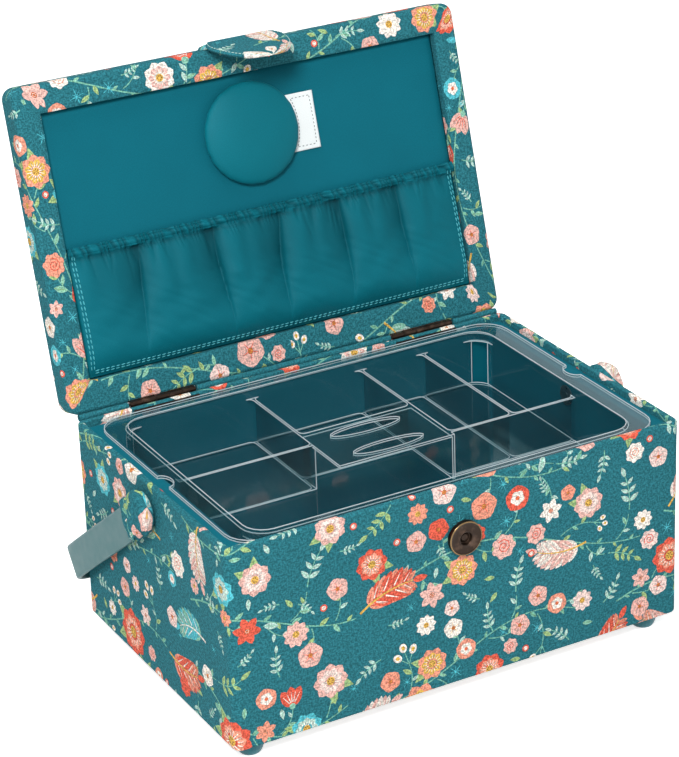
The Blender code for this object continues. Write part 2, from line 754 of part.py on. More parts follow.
def pocket_sheet(name, u_span, v_span, columns, rows, stand_off, thickness):
    """A sheet that follows the pocket's cloth, its near face a distance from it and its far face a thickness on."""
    half = OPENING_HALF_WIDTH - GAP - POCKET_SIDE_INSET
    far = []
    near = []
    for row in range(rows + 1):
        v = v_span[0] + (v_span[1] - v_span[0]) * row / rows
        for column in range(columns + 1):
            u = u_span[0] + (u_span[1] - u_span[0]) * column / columns
            x = -half + 2 * half * u
            y = POCKET_BOTTOM_Y - POCKET_HEIGHT * v
            z = PANEL_Z - GAP - max(0.0, pocket_surface(u, v)) + stand_off
            far.append((x, y, z))
            near.append((x, y, z - thickness))
    width = columns + 1
    offset = len(far)
    faces = []
    for row in range(rows):
        for column in range(columns):
            a = row * width + column
            faces.append((a, a + 1, a + width + 1, a + width))
            faces.append((offset + a, offset + a + width, offset + a + width + 1, offset + a + 1))
    for column in range(columns):
        a = column
        b = rows * width + column
        faces.append((a + 1, a, offset + a, offset + a + 1))
        faces.append((b, b + 1, offset + b + 1, offset + b))
    for row in range(rows):
        a = row * width
        b = row * width + columns
        faces.append((a, a + width, offset + a + width, offset + a))
        faces.append((b + width, b, offset + b, offset + b + width))
    return mesh_from(name, far + near, faces, SMOOTH)


def build_pocket(materials, lid):
    """Gathered pocket as a curved sheet off the panel, and the elastic behind its top edge."""
    cloth = pocket_sheet("pocket", (0.0, 1.0), (0.0, 1.0), 56, 8, 0.0, POCKET_CLOTH_THICKNESS)
    add_object("pocket", cloth, materials["pocket_cloth"], lid)
    low_v = 1.0 - (ELASTIC_BELOW_EDGE + ELASTIC_WIDTH / 2) / POCKET_HEIGHT
    high_v = 1.0 - (ELASTIC_BELOW_EDGE - ELASTIC_WIDTH / 2) / POCKET_HEIGHT
    shift = GAP + ELASTIC_THICKNESS
    side = ELASTIC_SIDE_SHARE
    band = pocket_sheet("pocket_elastic", (side, 1.0 - side), (low_v, high_v), 48, 1, shift, ELASTIC_THICKNESS)
    add_object("pocket_elastic", band, materials["elastic"], lid)


def build_pincushion(materials, lid):
    """Domed round cushion on a card disc, and the label tab beside it."""
    y = CUSHION_Y
    card_low = PANEL_Z - GAP - CUSHION_BASE_THICKNESS
    card = [
        (0.0, card_low),
        (CUSHION_BASE_RADIUS, card_low),
        (CUSHION_BASE_RADIUS, PANEL_Z - GAP),
        (0.0, PANEL_Z - GAP),
    ]
    shift = Matrix.Translation((0.0, y, 0.0))
    add_object(
        "pincushion_base", place(turned_mesh("pincushion_base", card), shift), materials["board"], lid
    )
    base_z = card_low - GAP
    edge_rise = CUSHION_HEIGHT * CUSHION_EDGE_DROP_SHARE
    profile = [(0.0, base_z), (CUSHION_BASE_RADIUS, base_z)]
    steps = 10
    for step in range(1, steps + 1):
        turn = step / steps * math.pi / 2
        if step <= 3:
            swell = math.sin(step / 3 * math.pi / 2)
            radius = CUSHION_BASE_RADIUS + (CUSHION_RADIUS - CUSHION_BASE_RADIUS) * swell
            z = base_z - edge_rise * step / 3
        else:
            arc = (step - 3) / (steps - 3) * math.pi / 2
            radius = CUSHION_RADIUS * math.cos(arc)
            z = base_z - edge_rise - (CUSHION_HEIGHT - edge_rise) * math.sin(arc)
        if step < steps:
            profile.append((radius, z))
    profile.append((CUSHION_BASE_THICKNESS, base_z - CUSHION_HEIGHT))
    profile.append((0.0, base_z - CUSHION_HEIGHT))
    add_object("pincushion", place(turned_mesh("pincushion", profile), shift), materials["cushion_cloth"], lid)
    label_low_x = CUSHION_RADIUS + LABEL_PAST_CUSHION
    low = (label_low_x, y - LABEL_HEIGHT / 2, PANEL_Z - GAP - LABEL_THICKNESS)
    high = (label_low_x + LABEL_WIDTH, y + LABEL_HEIGHT / 2, PANEL_Z - GAP)
    add_object("label_tab", box_mesh("label_tab", low, high), materials["label_tape"], lid)


def build_flap(materials, lid):
    """Closure flap: the root sewn to the lid's front, and the stiffened tongue with the snap's stud let into it."""
    root_y = LID_FRONT_Y - GAP
    half = FLAP_WIDTH / 2
    root_low = (-half, root_y - FLAP_ROOT_THICKNESS, LID_BOTTOM_Z + FLAP_BEND_GAP)
    root_high = (half, root_y, LID_BOTTOM_Z + FLAP_ROOT_HEIGHT)
    root = box_mesh("closure_flap_root", root_low, root_high)
    add_object("closure_flap_root", root, materials["printed_canvas"], lid)
    axis_y = root_y - FLAP_ROOT_THICKNESS + FLAP_THICKNESS / 2
    flap_axis = add_axis("flap_axis", (0.0, axis_y, LID_BOTTOM_Z), FLAP_DROOP_ANGLE, lid)
    outline = [(half, -FLAP_BEND_GAP), (-half, -FLAP_BEND_GAP)]
    straight = FLAP_LENGTH - half * FLAP_END_SHARE
    steps = 12
    for step in range(steps + 1):
        turn = math.pi + step / steps * math.pi
        outline.append((half * math.cos(turn), -straight + (FLAP_LENGTH - straight) * math.sin(turn)))
    tongue = prism_mesh("closure_flap", outline, -FLAP_THICKNESS / 2, FLAP_THICKNESS / 2)
    place(tongue, Matrix.Translation((0.0, axis_y, LID_BOTTOM_Z)) @ Matrix.Rotation(math.pi / 2, 4, "X"))
    flap = add_object("closure_flap", tongue, materials["printed_canvas"], flap_axis)
    stud = [
        (0.0, 0.0),
        (SNAP_RADIUS, 0.0),
        (SNAP_RADIUS, SNAP_STUD_THICKNESS - SNAP_SHELL),
        (SNAP_RADIUS - SNAP_SHELL, SNAP_STUD_THICKNESS),
        (SNAP_SPIGOT_RADIUS, SNAP_STUD_THICKNESS),
        (SNAP_SPIGOT_RADIUS, SNAP_STUD_THICKNESS + SNAP_SPIGOT_LENGTH),
        (0.0, SNAP_STUD_THICKNESS + SNAP_SPIGOT_LENGTH),
    ]
    stud_back_y = SNAP_FACE_Y - GAP - SNAP_STUD_THICKNESS
    towards_box = Matrix.Translation((0.0, stud_back_y, SNAP_Z)) @ Matrix.Rotation(-math.pi / 2, 4, "X")
    stud_mesh = place(turned_mesh("snap_stud", stud), towards_box)
    add_object("snap_stud", stud_mesh, materials["aged_brass"], flap_axis)
    recess_radius = SNAP_RADIUS + GAP
    recess_length = SNAP_STUD_THICKNESS + OVERRUN
    recess = [(0.0, -GAP), (recess_radius, -GAP), (recess_radius, recess_length), (0.0, recess_length)]
    cut(flap, place(turned_mesh("stud_recess", recess), towards_box))
    return flap


def knuckle_spans(x, first):
    """Spans along X of every second knuckle of a hinge centred at x."""
    pitch = HINGE_LENGTH / HINGE_KNUCKLES
    spans = []
    for k in range(first, HINGE_KNUCKLES, 2):
        start = x - HINGE_LENGTH / 2 + pitch * k
        low = start + (HINGE_KNUCKLE_GAP / 2 if k > 0 else 0.0)
        high = start + pitch - (HINGE_KNUCKLE_GAP / 2 if k < HINGE_KNUCKLES - 1 else 0.0)
        spans.append((low, high))
    return spans


def barrel_mesh(name, low, high, radius):
    """A cylinder along X on the hinge axis."""
    length = high - low
    profile = [(0.0, 0.0), (radius, 0.0), (radius, length), (0.0, length)]
    return along_x(turned_mesh(name, profile, SMALL_ROUND_STEPS), low, HINGE_Y, HINGE_Z)


def build_hinges(materials, lid):
    """Two hinges. Each leaf is bent out of sight: the body's down behind the back lining, the lid's into a slot."""
    bore = HINGE_PIN_RADIUS + HINGE_PIN_CLEARANCE
    leaf = HINGE_LEAF_THICKNESS
    bottom = HINGE_Z - HINGE_BARREL_RADIUS
    lid_leaf_top = HINGE_Z + HINGE_BARREL_RADIUS
    inner_face = HALF_DEPTH - CARCASS_INNER - GAP
    for side, x in hinge_places():
        half = HINGE_LENGTH / 2
        body_leaf = add_object(
            "hinge_body_leaf_" + side,
            box_mesh(
                "body_leaf_plate",
                (x - half, inner_face - leaf, bottom - HINGE_LEAF_DEPTH),
                (x + half, inner_face, bottom + leaf),
            ),
            materials["aged_brass"],
        )
        join(
            body_leaf,
            box_mesh(
                "body_leaf_step",
                (x - half, inner_face - leaf / 2, bottom),
                (x + half, HINGE_Y - HINGE_BARREL_RADIUS - GAP, bottom + leaf),
            ),
        )
        for n, (low, high) in enumerate(knuckle_spans(x, 0)):
            join(
                body_leaf,
                box_mesh(
                    f"body_arm_{n}",
                    (low, HINGE_Y - HINGE_BARREL_RADIUS - leaf, bottom + leaf / 4),
                    (high, HINGE_Y, bottom + leaf / 2 + leaf),
                ),
            )
            join(body_leaf, barrel_mesh(f"body_knuckle_{n}", low, high, HINGE_BARREL_RADIUS))
        cut_low = x - half - OVERRUN
        cut(body_leaf, barrel_mesh("body_bore", cut_low, x + half + OVERRUN, bore))
        lid_leaf = add_object(
            "hinge_lid_leaf_" + side,
            box_mesh(
                "lid_leaf_plate",
                (x - half, LID_BACK_Y - HINGE_LEAF_DEPTH + GAP, lid_leaf_top - leaf),
                (x + half, HINGE_Y - HINGE_BARREL_RADIUS, lid_leaf_top),
            ),
            materials["aged_brass"],
            lid,
        )
        for n, (low, high) in enumerate(knuckle_spans(x, 1)):
            join(
                lid_leaf,
                box_mesh(
                    f"lid_arm_{n}",
                    (low, HINGE_Y - HINGE_BARREL_RADIUS - leaf, lid_leaf_top - leaf - leaf / 2),
                    (high, HINGE_Y, lid_leaf_top - leaf / 4),
                ),
            )
            join(lid_leaf, barrel_mesh(f"lid_knuckle_{n}", low, high, HINGE_BARREL_RADIUS))
        cut(lid_leaf, barrel_mesh("lid_bore", cut_low, x + half + OVERRUN, bore))
        pin_low = x - half - HINGE_PIN_OVERHANG
        pin_high = x + half + HINGE_PIN_OVERHANG
        add_object(
            "hinge_pin_" + side,
            barrel_mesh("hinge_pin_" + side, pin_low, pin_high, HINGE_PIN_RADIUS),
            materials["aged_brass"],
        )


def handle_rest_angle():
    """Angle below level at which the bail's grip comes to lie on the box's back."""
    inner = HANDLE_REACH - HANDLE_THICKNESS
    half = HANDLE_WIDTH / 2
    reach = HALF_DEPTH + HANDLE_BACK_CLEARANCE
    return math.acos(reach / math.hypot(inner, half)) - math.atan(half / inner)


def bail_path():
    """Points and outward directions of the bail's middle line, in the plane of the bail, from the left arm's end."""
    half_span = ARM_INNER_X + HANDLE_THICKNESS / 2
    far = HANDLE_REACH - HANDLE_THICKNESS / 2
    radius = HANDLE_CORNER_RADIUS
    start = -HANDLE_WIDTH / 2
    path = [((-half_span, start), (-1.0, 0.0)), ((-half_span, far - radius), (-1.0, 0.0))]
    steps = 6
    for sign, first in ((-1, math.pi), (1, math.pi / 2)):
        for step in range(steps + 1):
            turn = first - step / steps * math.pi / 2
            centre = (sign * (half_span - radius), far - radius)
            out = (math.cos(turn), math.sin(turn))
            point = (centre[0] + radius * out[0], centre[1] + radius * out[1])
            path.append((point, out))
    path.append(((half_span, start), (1.0, 0.0)))
    return path


def build_handle(materials):
    """Flat bail with a cloth sleeve over each end. It is modelled lying level to the back, then turned down."""
    pivot = (0.0, 0.0, HANDLE_PIVOT_Z)
    axis = add_axis("handle_axis", pivot, -handle_rest_angle())
    half_width = HANDLE_WIDTH / 2
    half_thick = HANDLE_THICKNESS / 2
    edge = HANDLE_EDGE_RADIUS
    section = [
        (-half_thick, -half_width + edge),
        (-half_thick + edge, -half_width),
        (half_thick - edge, -half_width),
        (half_thick, -half_width + edge),
        (half_thick, half_width - edge),
        (half_thick - edge, half_width),
        (-half_thick + edge, half_width),
        (-half_thick, half_width - edge),
    ]
    loops = []
    for (px, py), (ox, oy) in bail_path():
        loops.append([(px + ox * a, py + oy * a, HANDLE_PIVOT_Z + b) for a, b in section])
    handle = add_object(
        "handle_bail", loop_mesh("handle_bail", loops, False), materials["handle_plastic"], axis
    )
    hole_radius = RIVET_RADIUS + RIVET_HOLE_CLEARANCE
    for side, sign in (("left", -1), ("right", 1)):
        start = min(sign * (ARM_INNER_X - OVERRUN), sign * (ARM_OUTER_X + OVERRUN))
        length = HANDLE_THICKNESS + 2 * OVERRUN
        hole = [(0.0, 0.0), (hole_radius, 0.0), (hole_radius, length), (0.0, length)]
        cut(handle, along_x(turned_mesh("arm_hole", hole, SMALL_ROUND_STEPS), start, 0.0, HANDLE_PIVOT_Z))
        build_sleeve(materials, axis, side, sign)
    return axis


def build_sleeve(materials, axis, side, sign):
    """Padded cloth cap over the arm's end, rounded at its free end, domed outwards, open towards the arm."""
    inner_x = HALF_WIDTH + GAP
    back = SLEEVE_LENGTH * (1 - SLEEVE_END_SHARE)
    front = SLEEVE_LENGTH * SLEEVE_END_SHARE
    half = SLEEVE_WIDTH / 2
    end_radius = half * SLEEVE_ROUND_END_SHARE
    outline = [(back, -half), (back, half)]
    steps = 8
    for step in range(steps + 1):
        turn = math.pi / 2 + step / steps * math.pi
        outline.append((-(front - end_radius) + end_radius * math.cos(turn), half * math.sin(turn)))
    loops = [[(sign * inner_x, y, HANDLE_PIVOT_Z + z) for y, z in outline]]
    for shrink, rise in SLEEVE_DOME_SHARES:
        x = inner_x + SLEEVE_THICKNESS - SLEEVE_DOME * (1 - rise)
        scale = 1 - shrink
        loops.append([(sign * x, y * scale, HANDLE_PIVOT_Z + z * scale) for y, z in outline])
    sleeve = add_object(
        "handle_sleeve_" + side, loop_mesh("sleeve_" + side, loops, False), materials["printed_canvas"], axis
    )
    arm_half = HANDLE_WIDTH / 2 + GAP
    x_values = sorted((sign * (inner_x - OVERRUN), sign * (ARM_OUTER_X + GAP)))
    cut(
        sleeve,
        box_mesh(
            "arm_room",
            (x_values[0], -arm_half, HANDLE_PIVOT_Z - arm_half),
            (x_values[1], back + OVERRUN, HANDLE_PIVOT_Z + arm_half),
        ),
    )
    head_room = RIVET_HEAD_RADIUS + GAP
    start = min(sign * ARM_INNER_X, sign * (ARM_OUTER_X + RIVET_HEAD_THICKNESS + 2 * GAP))
    length = HANDLE_THICKNESS + RIVET_HEAD_THICKNESS + 2 * GAP
    room = [(0.0, 0.0), (head_room, 0.0), (head_room, length), (0.0, length)]
    cut(sleeve, along_x(turned_mesh("head_room", room, SMALL_ROUND_STEPS), start, 0.0, HANDLE_PIVOT_Z))


def build_rivets(materials, cover, carcass):
    """Pivot rivets through the arms and the box's sides, with a washer behind each lining."""
    inner_x, _, _ = lining_inner()
    hole_radius = RIVET_RADIUS + GAP
    for side, sign in (("left", -1), ("right", 1)):
        tail = inner_x - GAP - WASHER_THICKNESS - GAP
        head = ARM_OUTER_X + GAP
        profile = [
            (0.0, 0.0),
            (RIVET_RADIUS, 0.0),
            (RIVET_RADIUS, head - tail),
            (RIVET_HEAD_RADIUS, head - tail),
            (RIVET_HEAD_RADIUS, head - tail + RIVET_HEAD_THICKNESS),
            (0.0, head - tail + RIVET_HEAD_THICKNESS),
        ]
        turn = Matrix.Rotation(sign * math.pi / 2, 4, "Y")
        spot = Matrix.Translation((sign * tail, 0.0, HANDLE_PIVOT_Z))
        rivet = place(turned_mesh("pivot_rivet_" + side, profile, SMALL_ROUND_STEPS), spot @ turn)
        add_object("pivot_rivet_" + side, rivet, materials["steel"])
        washer = [
            (WASHER_RADIUS, 0.0),
            (WASHER_RADIUS, WASHER_THICKNESS),
            (hole_radius, WASHER_THICKNESS),
            (hole_radius, 0.0),
        ]
        washer_spot = Matrix.Translation((sign * (inner_x - GAP - WASHER_THICKNESS), 0.0, HANDLE_PIVOT_Z))
        ring = place(ring_mesh("rivet_washer_" + side, washer, SMALL_ROUND_STEPS), washer_spot @ turn)
        add_object("rivet_washer_" + side, ring, materials["steel"])
        length = HALF_WIDTH - inner_x + 2 * OVERRUN
        hole = [(0.0, 0.0), (hole_radius, 0.0), (hole_radius, length), (0.0, length)]
        hole_spot = Matrix.Translation((sign * (inner_x - OVERRUN), 0.0, HANDLE_PIVOT_Z))
        for item in (cover, carcass, bpy.data.objects["lining_" + side]):
            cut(item, place(turned_mesh("rivet_hole", hole, SMALL_ROUND_STEPS), hole_spot @ turn))


def tray_pocket(name, low_x, high_x, low_y, high_y, top_z, radius=TRAY_POCKET_RADIUS):
    """Cutter for one compartment, from the tray's floor up."""
    floor_z = TRAY_TOP_Z - TRAY_DEPTH + TRAY_WALL
    return prism_mesh(name, rounded_rectangle((low_x, low_y), (high_x, high_y), radius, 3), floor_z, top_z)


def build_tray(materials):
    """Clear tray: flange, basin, compartments, and a bridge with two finger holes to lift it by."""
    flange_half = HALF_WIDTH - TRAY_SIDE_MARGIN
    low = (-flange_half, -HALF_DEPTH + TRAY_FRONT_MARGIN)
    high = (flange_half, HALF_DEPTH - TRAY_BACK_MARGIN)
    tray = add_object(
        "tray",
        prism_mesh("tray", rounded_rectangle(low, high, TRAY_FLANGE_RADIUS), TRAY_FLANGE_Z, TRAY_TOP_Z),
        materials["clear_plastic"],
    )
    inner_low = (low[0] + TRAY_FLANGE_RUN_X, low[1] + TRAY_FLANGE_RUN_Y)
    inner_high = (high[0] - TRAY_FLANGE_RUN_X, high[1] - TRAY_FLANGE_RUN_Y)
    outer_low = (inner_low[0] - TRAY_WALL, inner_low[1] - TRAY_WALL)
    outer_high = (inner_high[0] + TRAY_WALL, inner_high[1] + TRAY_WALL)
    floor_bottom = TRAY_TOP_Z - TRAY_DEPTH
    basin = rounded_rectangle(outer_low, outer_high, TRAY_INNER_RADIUS + TRAY_WALL)
    join(tray, prism_mesh("tray_basin", basin, floor_bottom, TRAY_TOP_Z - BOOLEAN_OVERLAP))
    divider_z = TRAY_TOP_Z - TRAY_DIVIDER_DROP
    mouth = rounded_rectangle(inner_low, inner_high, TRAY_INNER_RADIUS)
    cut(tray, prism_mesh("tray_mouth", mouth, divider_z, TRAY_TOP_Z + OVERRUN))
    half = TRAY_WALL / 2
    above = divider_z + BOOLEAN_OVERLAP
    under = divider_z - TRAY_WALL
    left = inner_low[0]
    right = inner_high[0]
    front = inner_low[1]
    back = inner_high[1]
    left_divider = TRAY_LEFT_DIVIDER_X
    right_divider = TRAY_RIGHT_DIVIDER_X
    far_divider = TRAY_FAR_DIVIDER_X
    bridge_front = TRAY_BRIDGE_FRONT_Y
    corner = TRAY_INNER_RADIUS
    small = TRAY_POCKET_RADIUS
    tiny = GAP
    pockets = (
        (left, left_divider - half, TRAY_LEFT_CROSS_Y + half, back, above, small),
        (left_divider + half, right_divider - half, TRAY_BRIDGE_BACK_Y + half, back, above, small),
        (right_divider + half, far_divider - half, TRAY_RIGHT_CROSS_Y + half, back, above, small),
        (far_divider + half, right, TRAY_RIGHT_CROSS_Y + half, back, above, small),
        (left, right, front, bridge_front, above, corner),
        (left, left_divider - half, front + corner, TRAY_LEFT_CROSS_Y - half, above, tiny),
        (left_divider + half, right_divider - half, front + corner, TRAY_BRIDGE_BACK_Y - half, under, tiny),
        (right_divider + half, right, front + corner, TRAY_RIGHT_CROSS_Y - half, above, tiny),
        (left_divider - TRAY_WALL, left_divider + TRAY_WALL, front + corner, TRAY_LEFT_CROSS_Y - half, under, tiny),
    )
    for n, (x0, x1, y0, y1, top, radius) in enumerate(pockets):
        cut(tray, tray_pocket(f"tray_pocket_{n}", x0, x1, y0, y1, top, radius))
    middle = (TRAY_BRIDGE_BACK_Y + bridge_front) / 2
    for n, sign in enumerate((-1, 1)):
        outline = []
        for step in range(SMALL_ROUND_STEPS):
            turn = 2 * math.pi * step / SMALL_ROUND_STEPS
            x = FINGER_HOLE_HALF_LENGTH * math.cos(turn)
            y = middle + sign * FINGER_HOLE_SPREAD + FINGER_HOLE_HALF_WIDTH * math.sin(turn)
            outline.append((x, y))
        cut(tray, prism_mesh(f"finger_hole_{n}", outline, under - OVERRUN, divider_z + OVERRUN))
    notch_y = (low[1] + high[1]) / 2
    for n, x in enumerate((low[0], high[0])):
        outline = []
        for step in range(SMALL_ROUND_STEPS):
            turn = 2 * math.pi * step / SMALL_ROUND_STEPS
            outline.append(
                (x + THUMB_NOTCH_DEPTH * math.cos(turn), notch_y + THUMB_NOTCH_HALF_LENGTH * math.sin(turn))
            )
        cut(tray, prism_mesh(f"thumb_notch_{n}", outline, TRAY_FLANGE_Z - OVERRUN, TRAY_TOP_Z + OVERRUN))
    return tray


def stand_on_origin():
    """Moves everything so that the origin is on the floor, below the middle of the whole box as it stands open."""
    bpy.context.view_layer.update()
    solids = [item for item in bpy.data.objects if item.type == "MESH" and not item.hide_render]
    points = [item.matrix_world @ vertex.co for item in solids for vertex in item.data.vertices]
    low = Vector([min(point[axis] for point in points) for axis in range(3)])
    high = Vector([max(point[axis] for point in points) for axis in range(3)])
    middle = (low + high) / 2
    shift = Vector((-middle.x, -middle.y, -low.z))
    for item in bpy.data.objects:
        if item.parent is None:
            item.location += shift


def main():
    clear_scene()
    materials = {
        "printed_canvas": make_material("printed_canvas", "#33788A", 0.85),
        "lining_cloth": make_material("lining_cloth", "#146A74", 0.9),
        "pocket_cloth": make_material("pocket_cloth", "#0E6B76", 0.85),
        "cushion_cloth": make_material("cushion_cloth", "#147480", 0.7),
        "board": make_material("grey_board", "#8F8A80", 0.9),
        "foot_plastic": make_material("foot_plastic", "#1F6C78", 0.45),
        "handle_plastic": make_material("handle_plastic", "#66949C", 0.5),
        "clear_plastic": make_material("clear_plastic", "#E4F0F2", 0.08, 0.0, 0.3),
        "aged_brass": make_material("aged_brass", "#4A3C30", 0.35, 1.0),
        "steel": make_material("steel", "#9A9C9E", 0.35, 1.0),
        "magnet": make_material("magnet", "#4A4A4C", 0.5, 0.6),
        "elastic": make_material("elastic", "#D8DCDC", 0.9),
        "label_tape": make_material("label_tape", "#E8ECEC", 0.8),
    }
    cover, carcass = build_body(materials)
    build_snap_socket(materials, cover, carcass)
    lid = add_axis("lid_axis", (0.0, HINGE_Y, HINGE_Z), -LID_OPEN_ANGLE)
    build_lid(materials, lid)
    build_flap(materials, lid)
    build_hinges(materials, lid)
    build_handle(materials)
    build_rivets(materials, cover, carcass)
    build_tray(materials)
    stand_on_origin()


main()
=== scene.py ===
"""Looks of a cloth-covered sewing box: printed canvas, lining, gathered pocket, clear tray and metal fittings.

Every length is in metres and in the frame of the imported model. Shapes on the lid are laid out with the lid shut, as
a maker would measure them, and are then turned about the hinge to the open pose at rest.
"""

import json
import logging
import math
import random
from dataclasses import dataclass, field
from enum import Enum, IntEnum
from typing import Sequence

import bmesh
import bpy
import numpy as np
from mathutils import Matrix, Vector


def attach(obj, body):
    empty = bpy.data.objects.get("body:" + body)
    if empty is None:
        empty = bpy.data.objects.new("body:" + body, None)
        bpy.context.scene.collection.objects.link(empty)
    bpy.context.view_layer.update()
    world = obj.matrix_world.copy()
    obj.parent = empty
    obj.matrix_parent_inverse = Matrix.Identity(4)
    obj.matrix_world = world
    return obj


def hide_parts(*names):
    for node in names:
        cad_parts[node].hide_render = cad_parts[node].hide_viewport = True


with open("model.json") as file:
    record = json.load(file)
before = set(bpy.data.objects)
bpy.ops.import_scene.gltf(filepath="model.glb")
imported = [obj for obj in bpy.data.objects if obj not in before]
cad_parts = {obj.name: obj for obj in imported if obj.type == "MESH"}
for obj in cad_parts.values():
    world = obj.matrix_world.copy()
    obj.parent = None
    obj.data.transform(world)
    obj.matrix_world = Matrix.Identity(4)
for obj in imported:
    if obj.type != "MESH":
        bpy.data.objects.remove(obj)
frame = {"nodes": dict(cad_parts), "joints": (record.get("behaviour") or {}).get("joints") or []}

LOG = logging.getLogger("sewing_box")
MM = 0.001
PHOTO_WIDTH = 679
PHOTO_HEIGHT = 757
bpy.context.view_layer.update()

Point = tuple[float, float]
Array = np.ndarray


class Palette(Enum):
    """Colours of cloth, print, plastic and metal, as sRGB hex."""

    GROUND = "#2B727D"
    LINING = "#046373"
    POCKET = "#026472"
    CUSHION = "#006B79"
    STITCH = "#55B4BF"
    STEM = "#78B7A2"
    LEAF = "#A6C284"
    LEAF_DARK = "#86AC78"
    PALE_LEAF = "#B9D6CC"
    MINT = "#8CC5AE"
    AQUA = "#58BFCC"
    BLUSH = "#EAB9AE"
    PALE_PINK = "#F1D6CE"
    CREAM = "#F4ECE2"
    CORAL = "#E4634E"
    PEACH = "#EE9D84"
    RUST = "#C96A3E"
    MUSTARD = "#E0B455"
    BROWN = "#8A5138"
    HANDLE = "#235F62"
    FOOT = "#176F7B"
    BRASS = "#2C211A"
    WORN_AND_HIGHLIGHT_BRASS = "#7E6747"
    LABEL = "#E9EEEE"
    THREAD = "#4A5558"
    FROST_AND_EDGE_HIGHLIGHT = "#DCE6EA"
    STEEL = "#A9ABAE"
    BOARD = "#8F8A80"
    FLOOR = "#FFFFFF"


def linear(colour: Palette) -> tuple[float, float, float, float]:
    """Converts a palette colour to linear RGBA.

    Args:
        colour: the sRGB palette entry.

    Returns:
        Linear red, green, blue and an alpha of one.
    """
    channels = [int(colour.value[i : i + 2], 16) / 255 for i in (1, 3, 5)]
    straight = [c / 12.92 if c <= 0.04045 else ((c + 0.055) / 1.055) ** 2.4 for c in channels]
    return (straight[0], straight[1], straight[2], 1.0)


@dataclass(frozen=True)
class BoxSizes:
    """The real sizes that the looks share with the construction, in metres."""

    half_width: float = 130.0 * MM
    half_depth: float = 85.0 * MM
    base_z: float = 9.0 * MM
    rim_z: float = 119.4 * MM
    corner: float = 4.5 * MM
    shift_y: float = 0.0
    lid_half_width: float = 130.8 * MM
    lid_front: float = -86.2 * MM
    lid_back: float = 86.0 * MM
    lid_bottom: float = 119.8 * MM
    lid_top: float = 138.7 * MM
    lid_corner: float = 6.5 * MM
    opening_half_width: float = 116.8 * MM
    opening_front: float = -71.0 * MM
    opening_back: float = 69.5 * MM
    panel_z: float = 124.8 * MM


def hinge_joint(name: str) -> dict:
    """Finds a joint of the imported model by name.

    Args:
        name: the joint's name.

    Returns:
        The joint's record.
    """
    return next(joint for joint in frame["joints"] if joint["name"] == name)


def measured_shift() -> float:
    """Distance along Y from the body's middle to the frame's origin, read from the handle's pivot.

    Returns:
        The distance, in metres.
    """
    return hinge_joint("handle_swing")["pos_m"][1]


SIZES = BoxSizes(shift_y=measured_shift())


class Nodes:
    """Builds one material's node tree."""

    def __init__(self, name: str) -> None:
        """Starts an empty node tree.

        Args:
            name: the material's name.
        """
        self.material = bpy.data.materials.new(name)
        self.material.use_nodes = True
        self.tree = self.material.node_tree
        self.tree.nodes.clear()

    def add(self, kind: str, inputs: dict | None = None, **settings) -> bpy.types.Node:
        """Adds a node.

        Args:
            kind: Blender's node type, without its ShaderNode prefix.
            inputs: socket name or number to a value, to another node's output, or to a node for its first output.
            settings: attributes set on the node before its sockets are filled.

        Returns:
            The new node.
        """
        node = self.tree.nodes.new(f"ShaderNode{kind}")
        for key, value in settings.items():
            setattr(node, key, value)
        for key, value in (inputs or {}).items():
            if isinstance(value, bpy.types.Node):
                value = value.outputs[0]
            if isinstance(value, bpy.types.NodeSocket):
                self.tree.links.new(value, node.inputs[key])
            else:
                node.inputs[key].default_value = value
        return node


@dataclass(frozen=True)
class ClothFinish:
    """A woven cloth: its colour, yarn spacing, relief and sheen."""

    name: str
    colour: Palette
    yarn: float
    relief: float
    roughness: float
    sheen: float
    speckle: float
    gloss: float = 0.12
    # Colour from the per-face print attribute: the print on the canvas, sleeves and flap, and the painted shade on the
    # pocket.
    printed: bool = False


@dataclass(frozen=True)
class SolidFinish:
    """A moulded or metal surface."""

    name: str
    colour: Palette
    roughness: float
    metallic: float = 0.0
    grain: float = 0.0
    wear: float = 0.0
    coat: float = 0.0


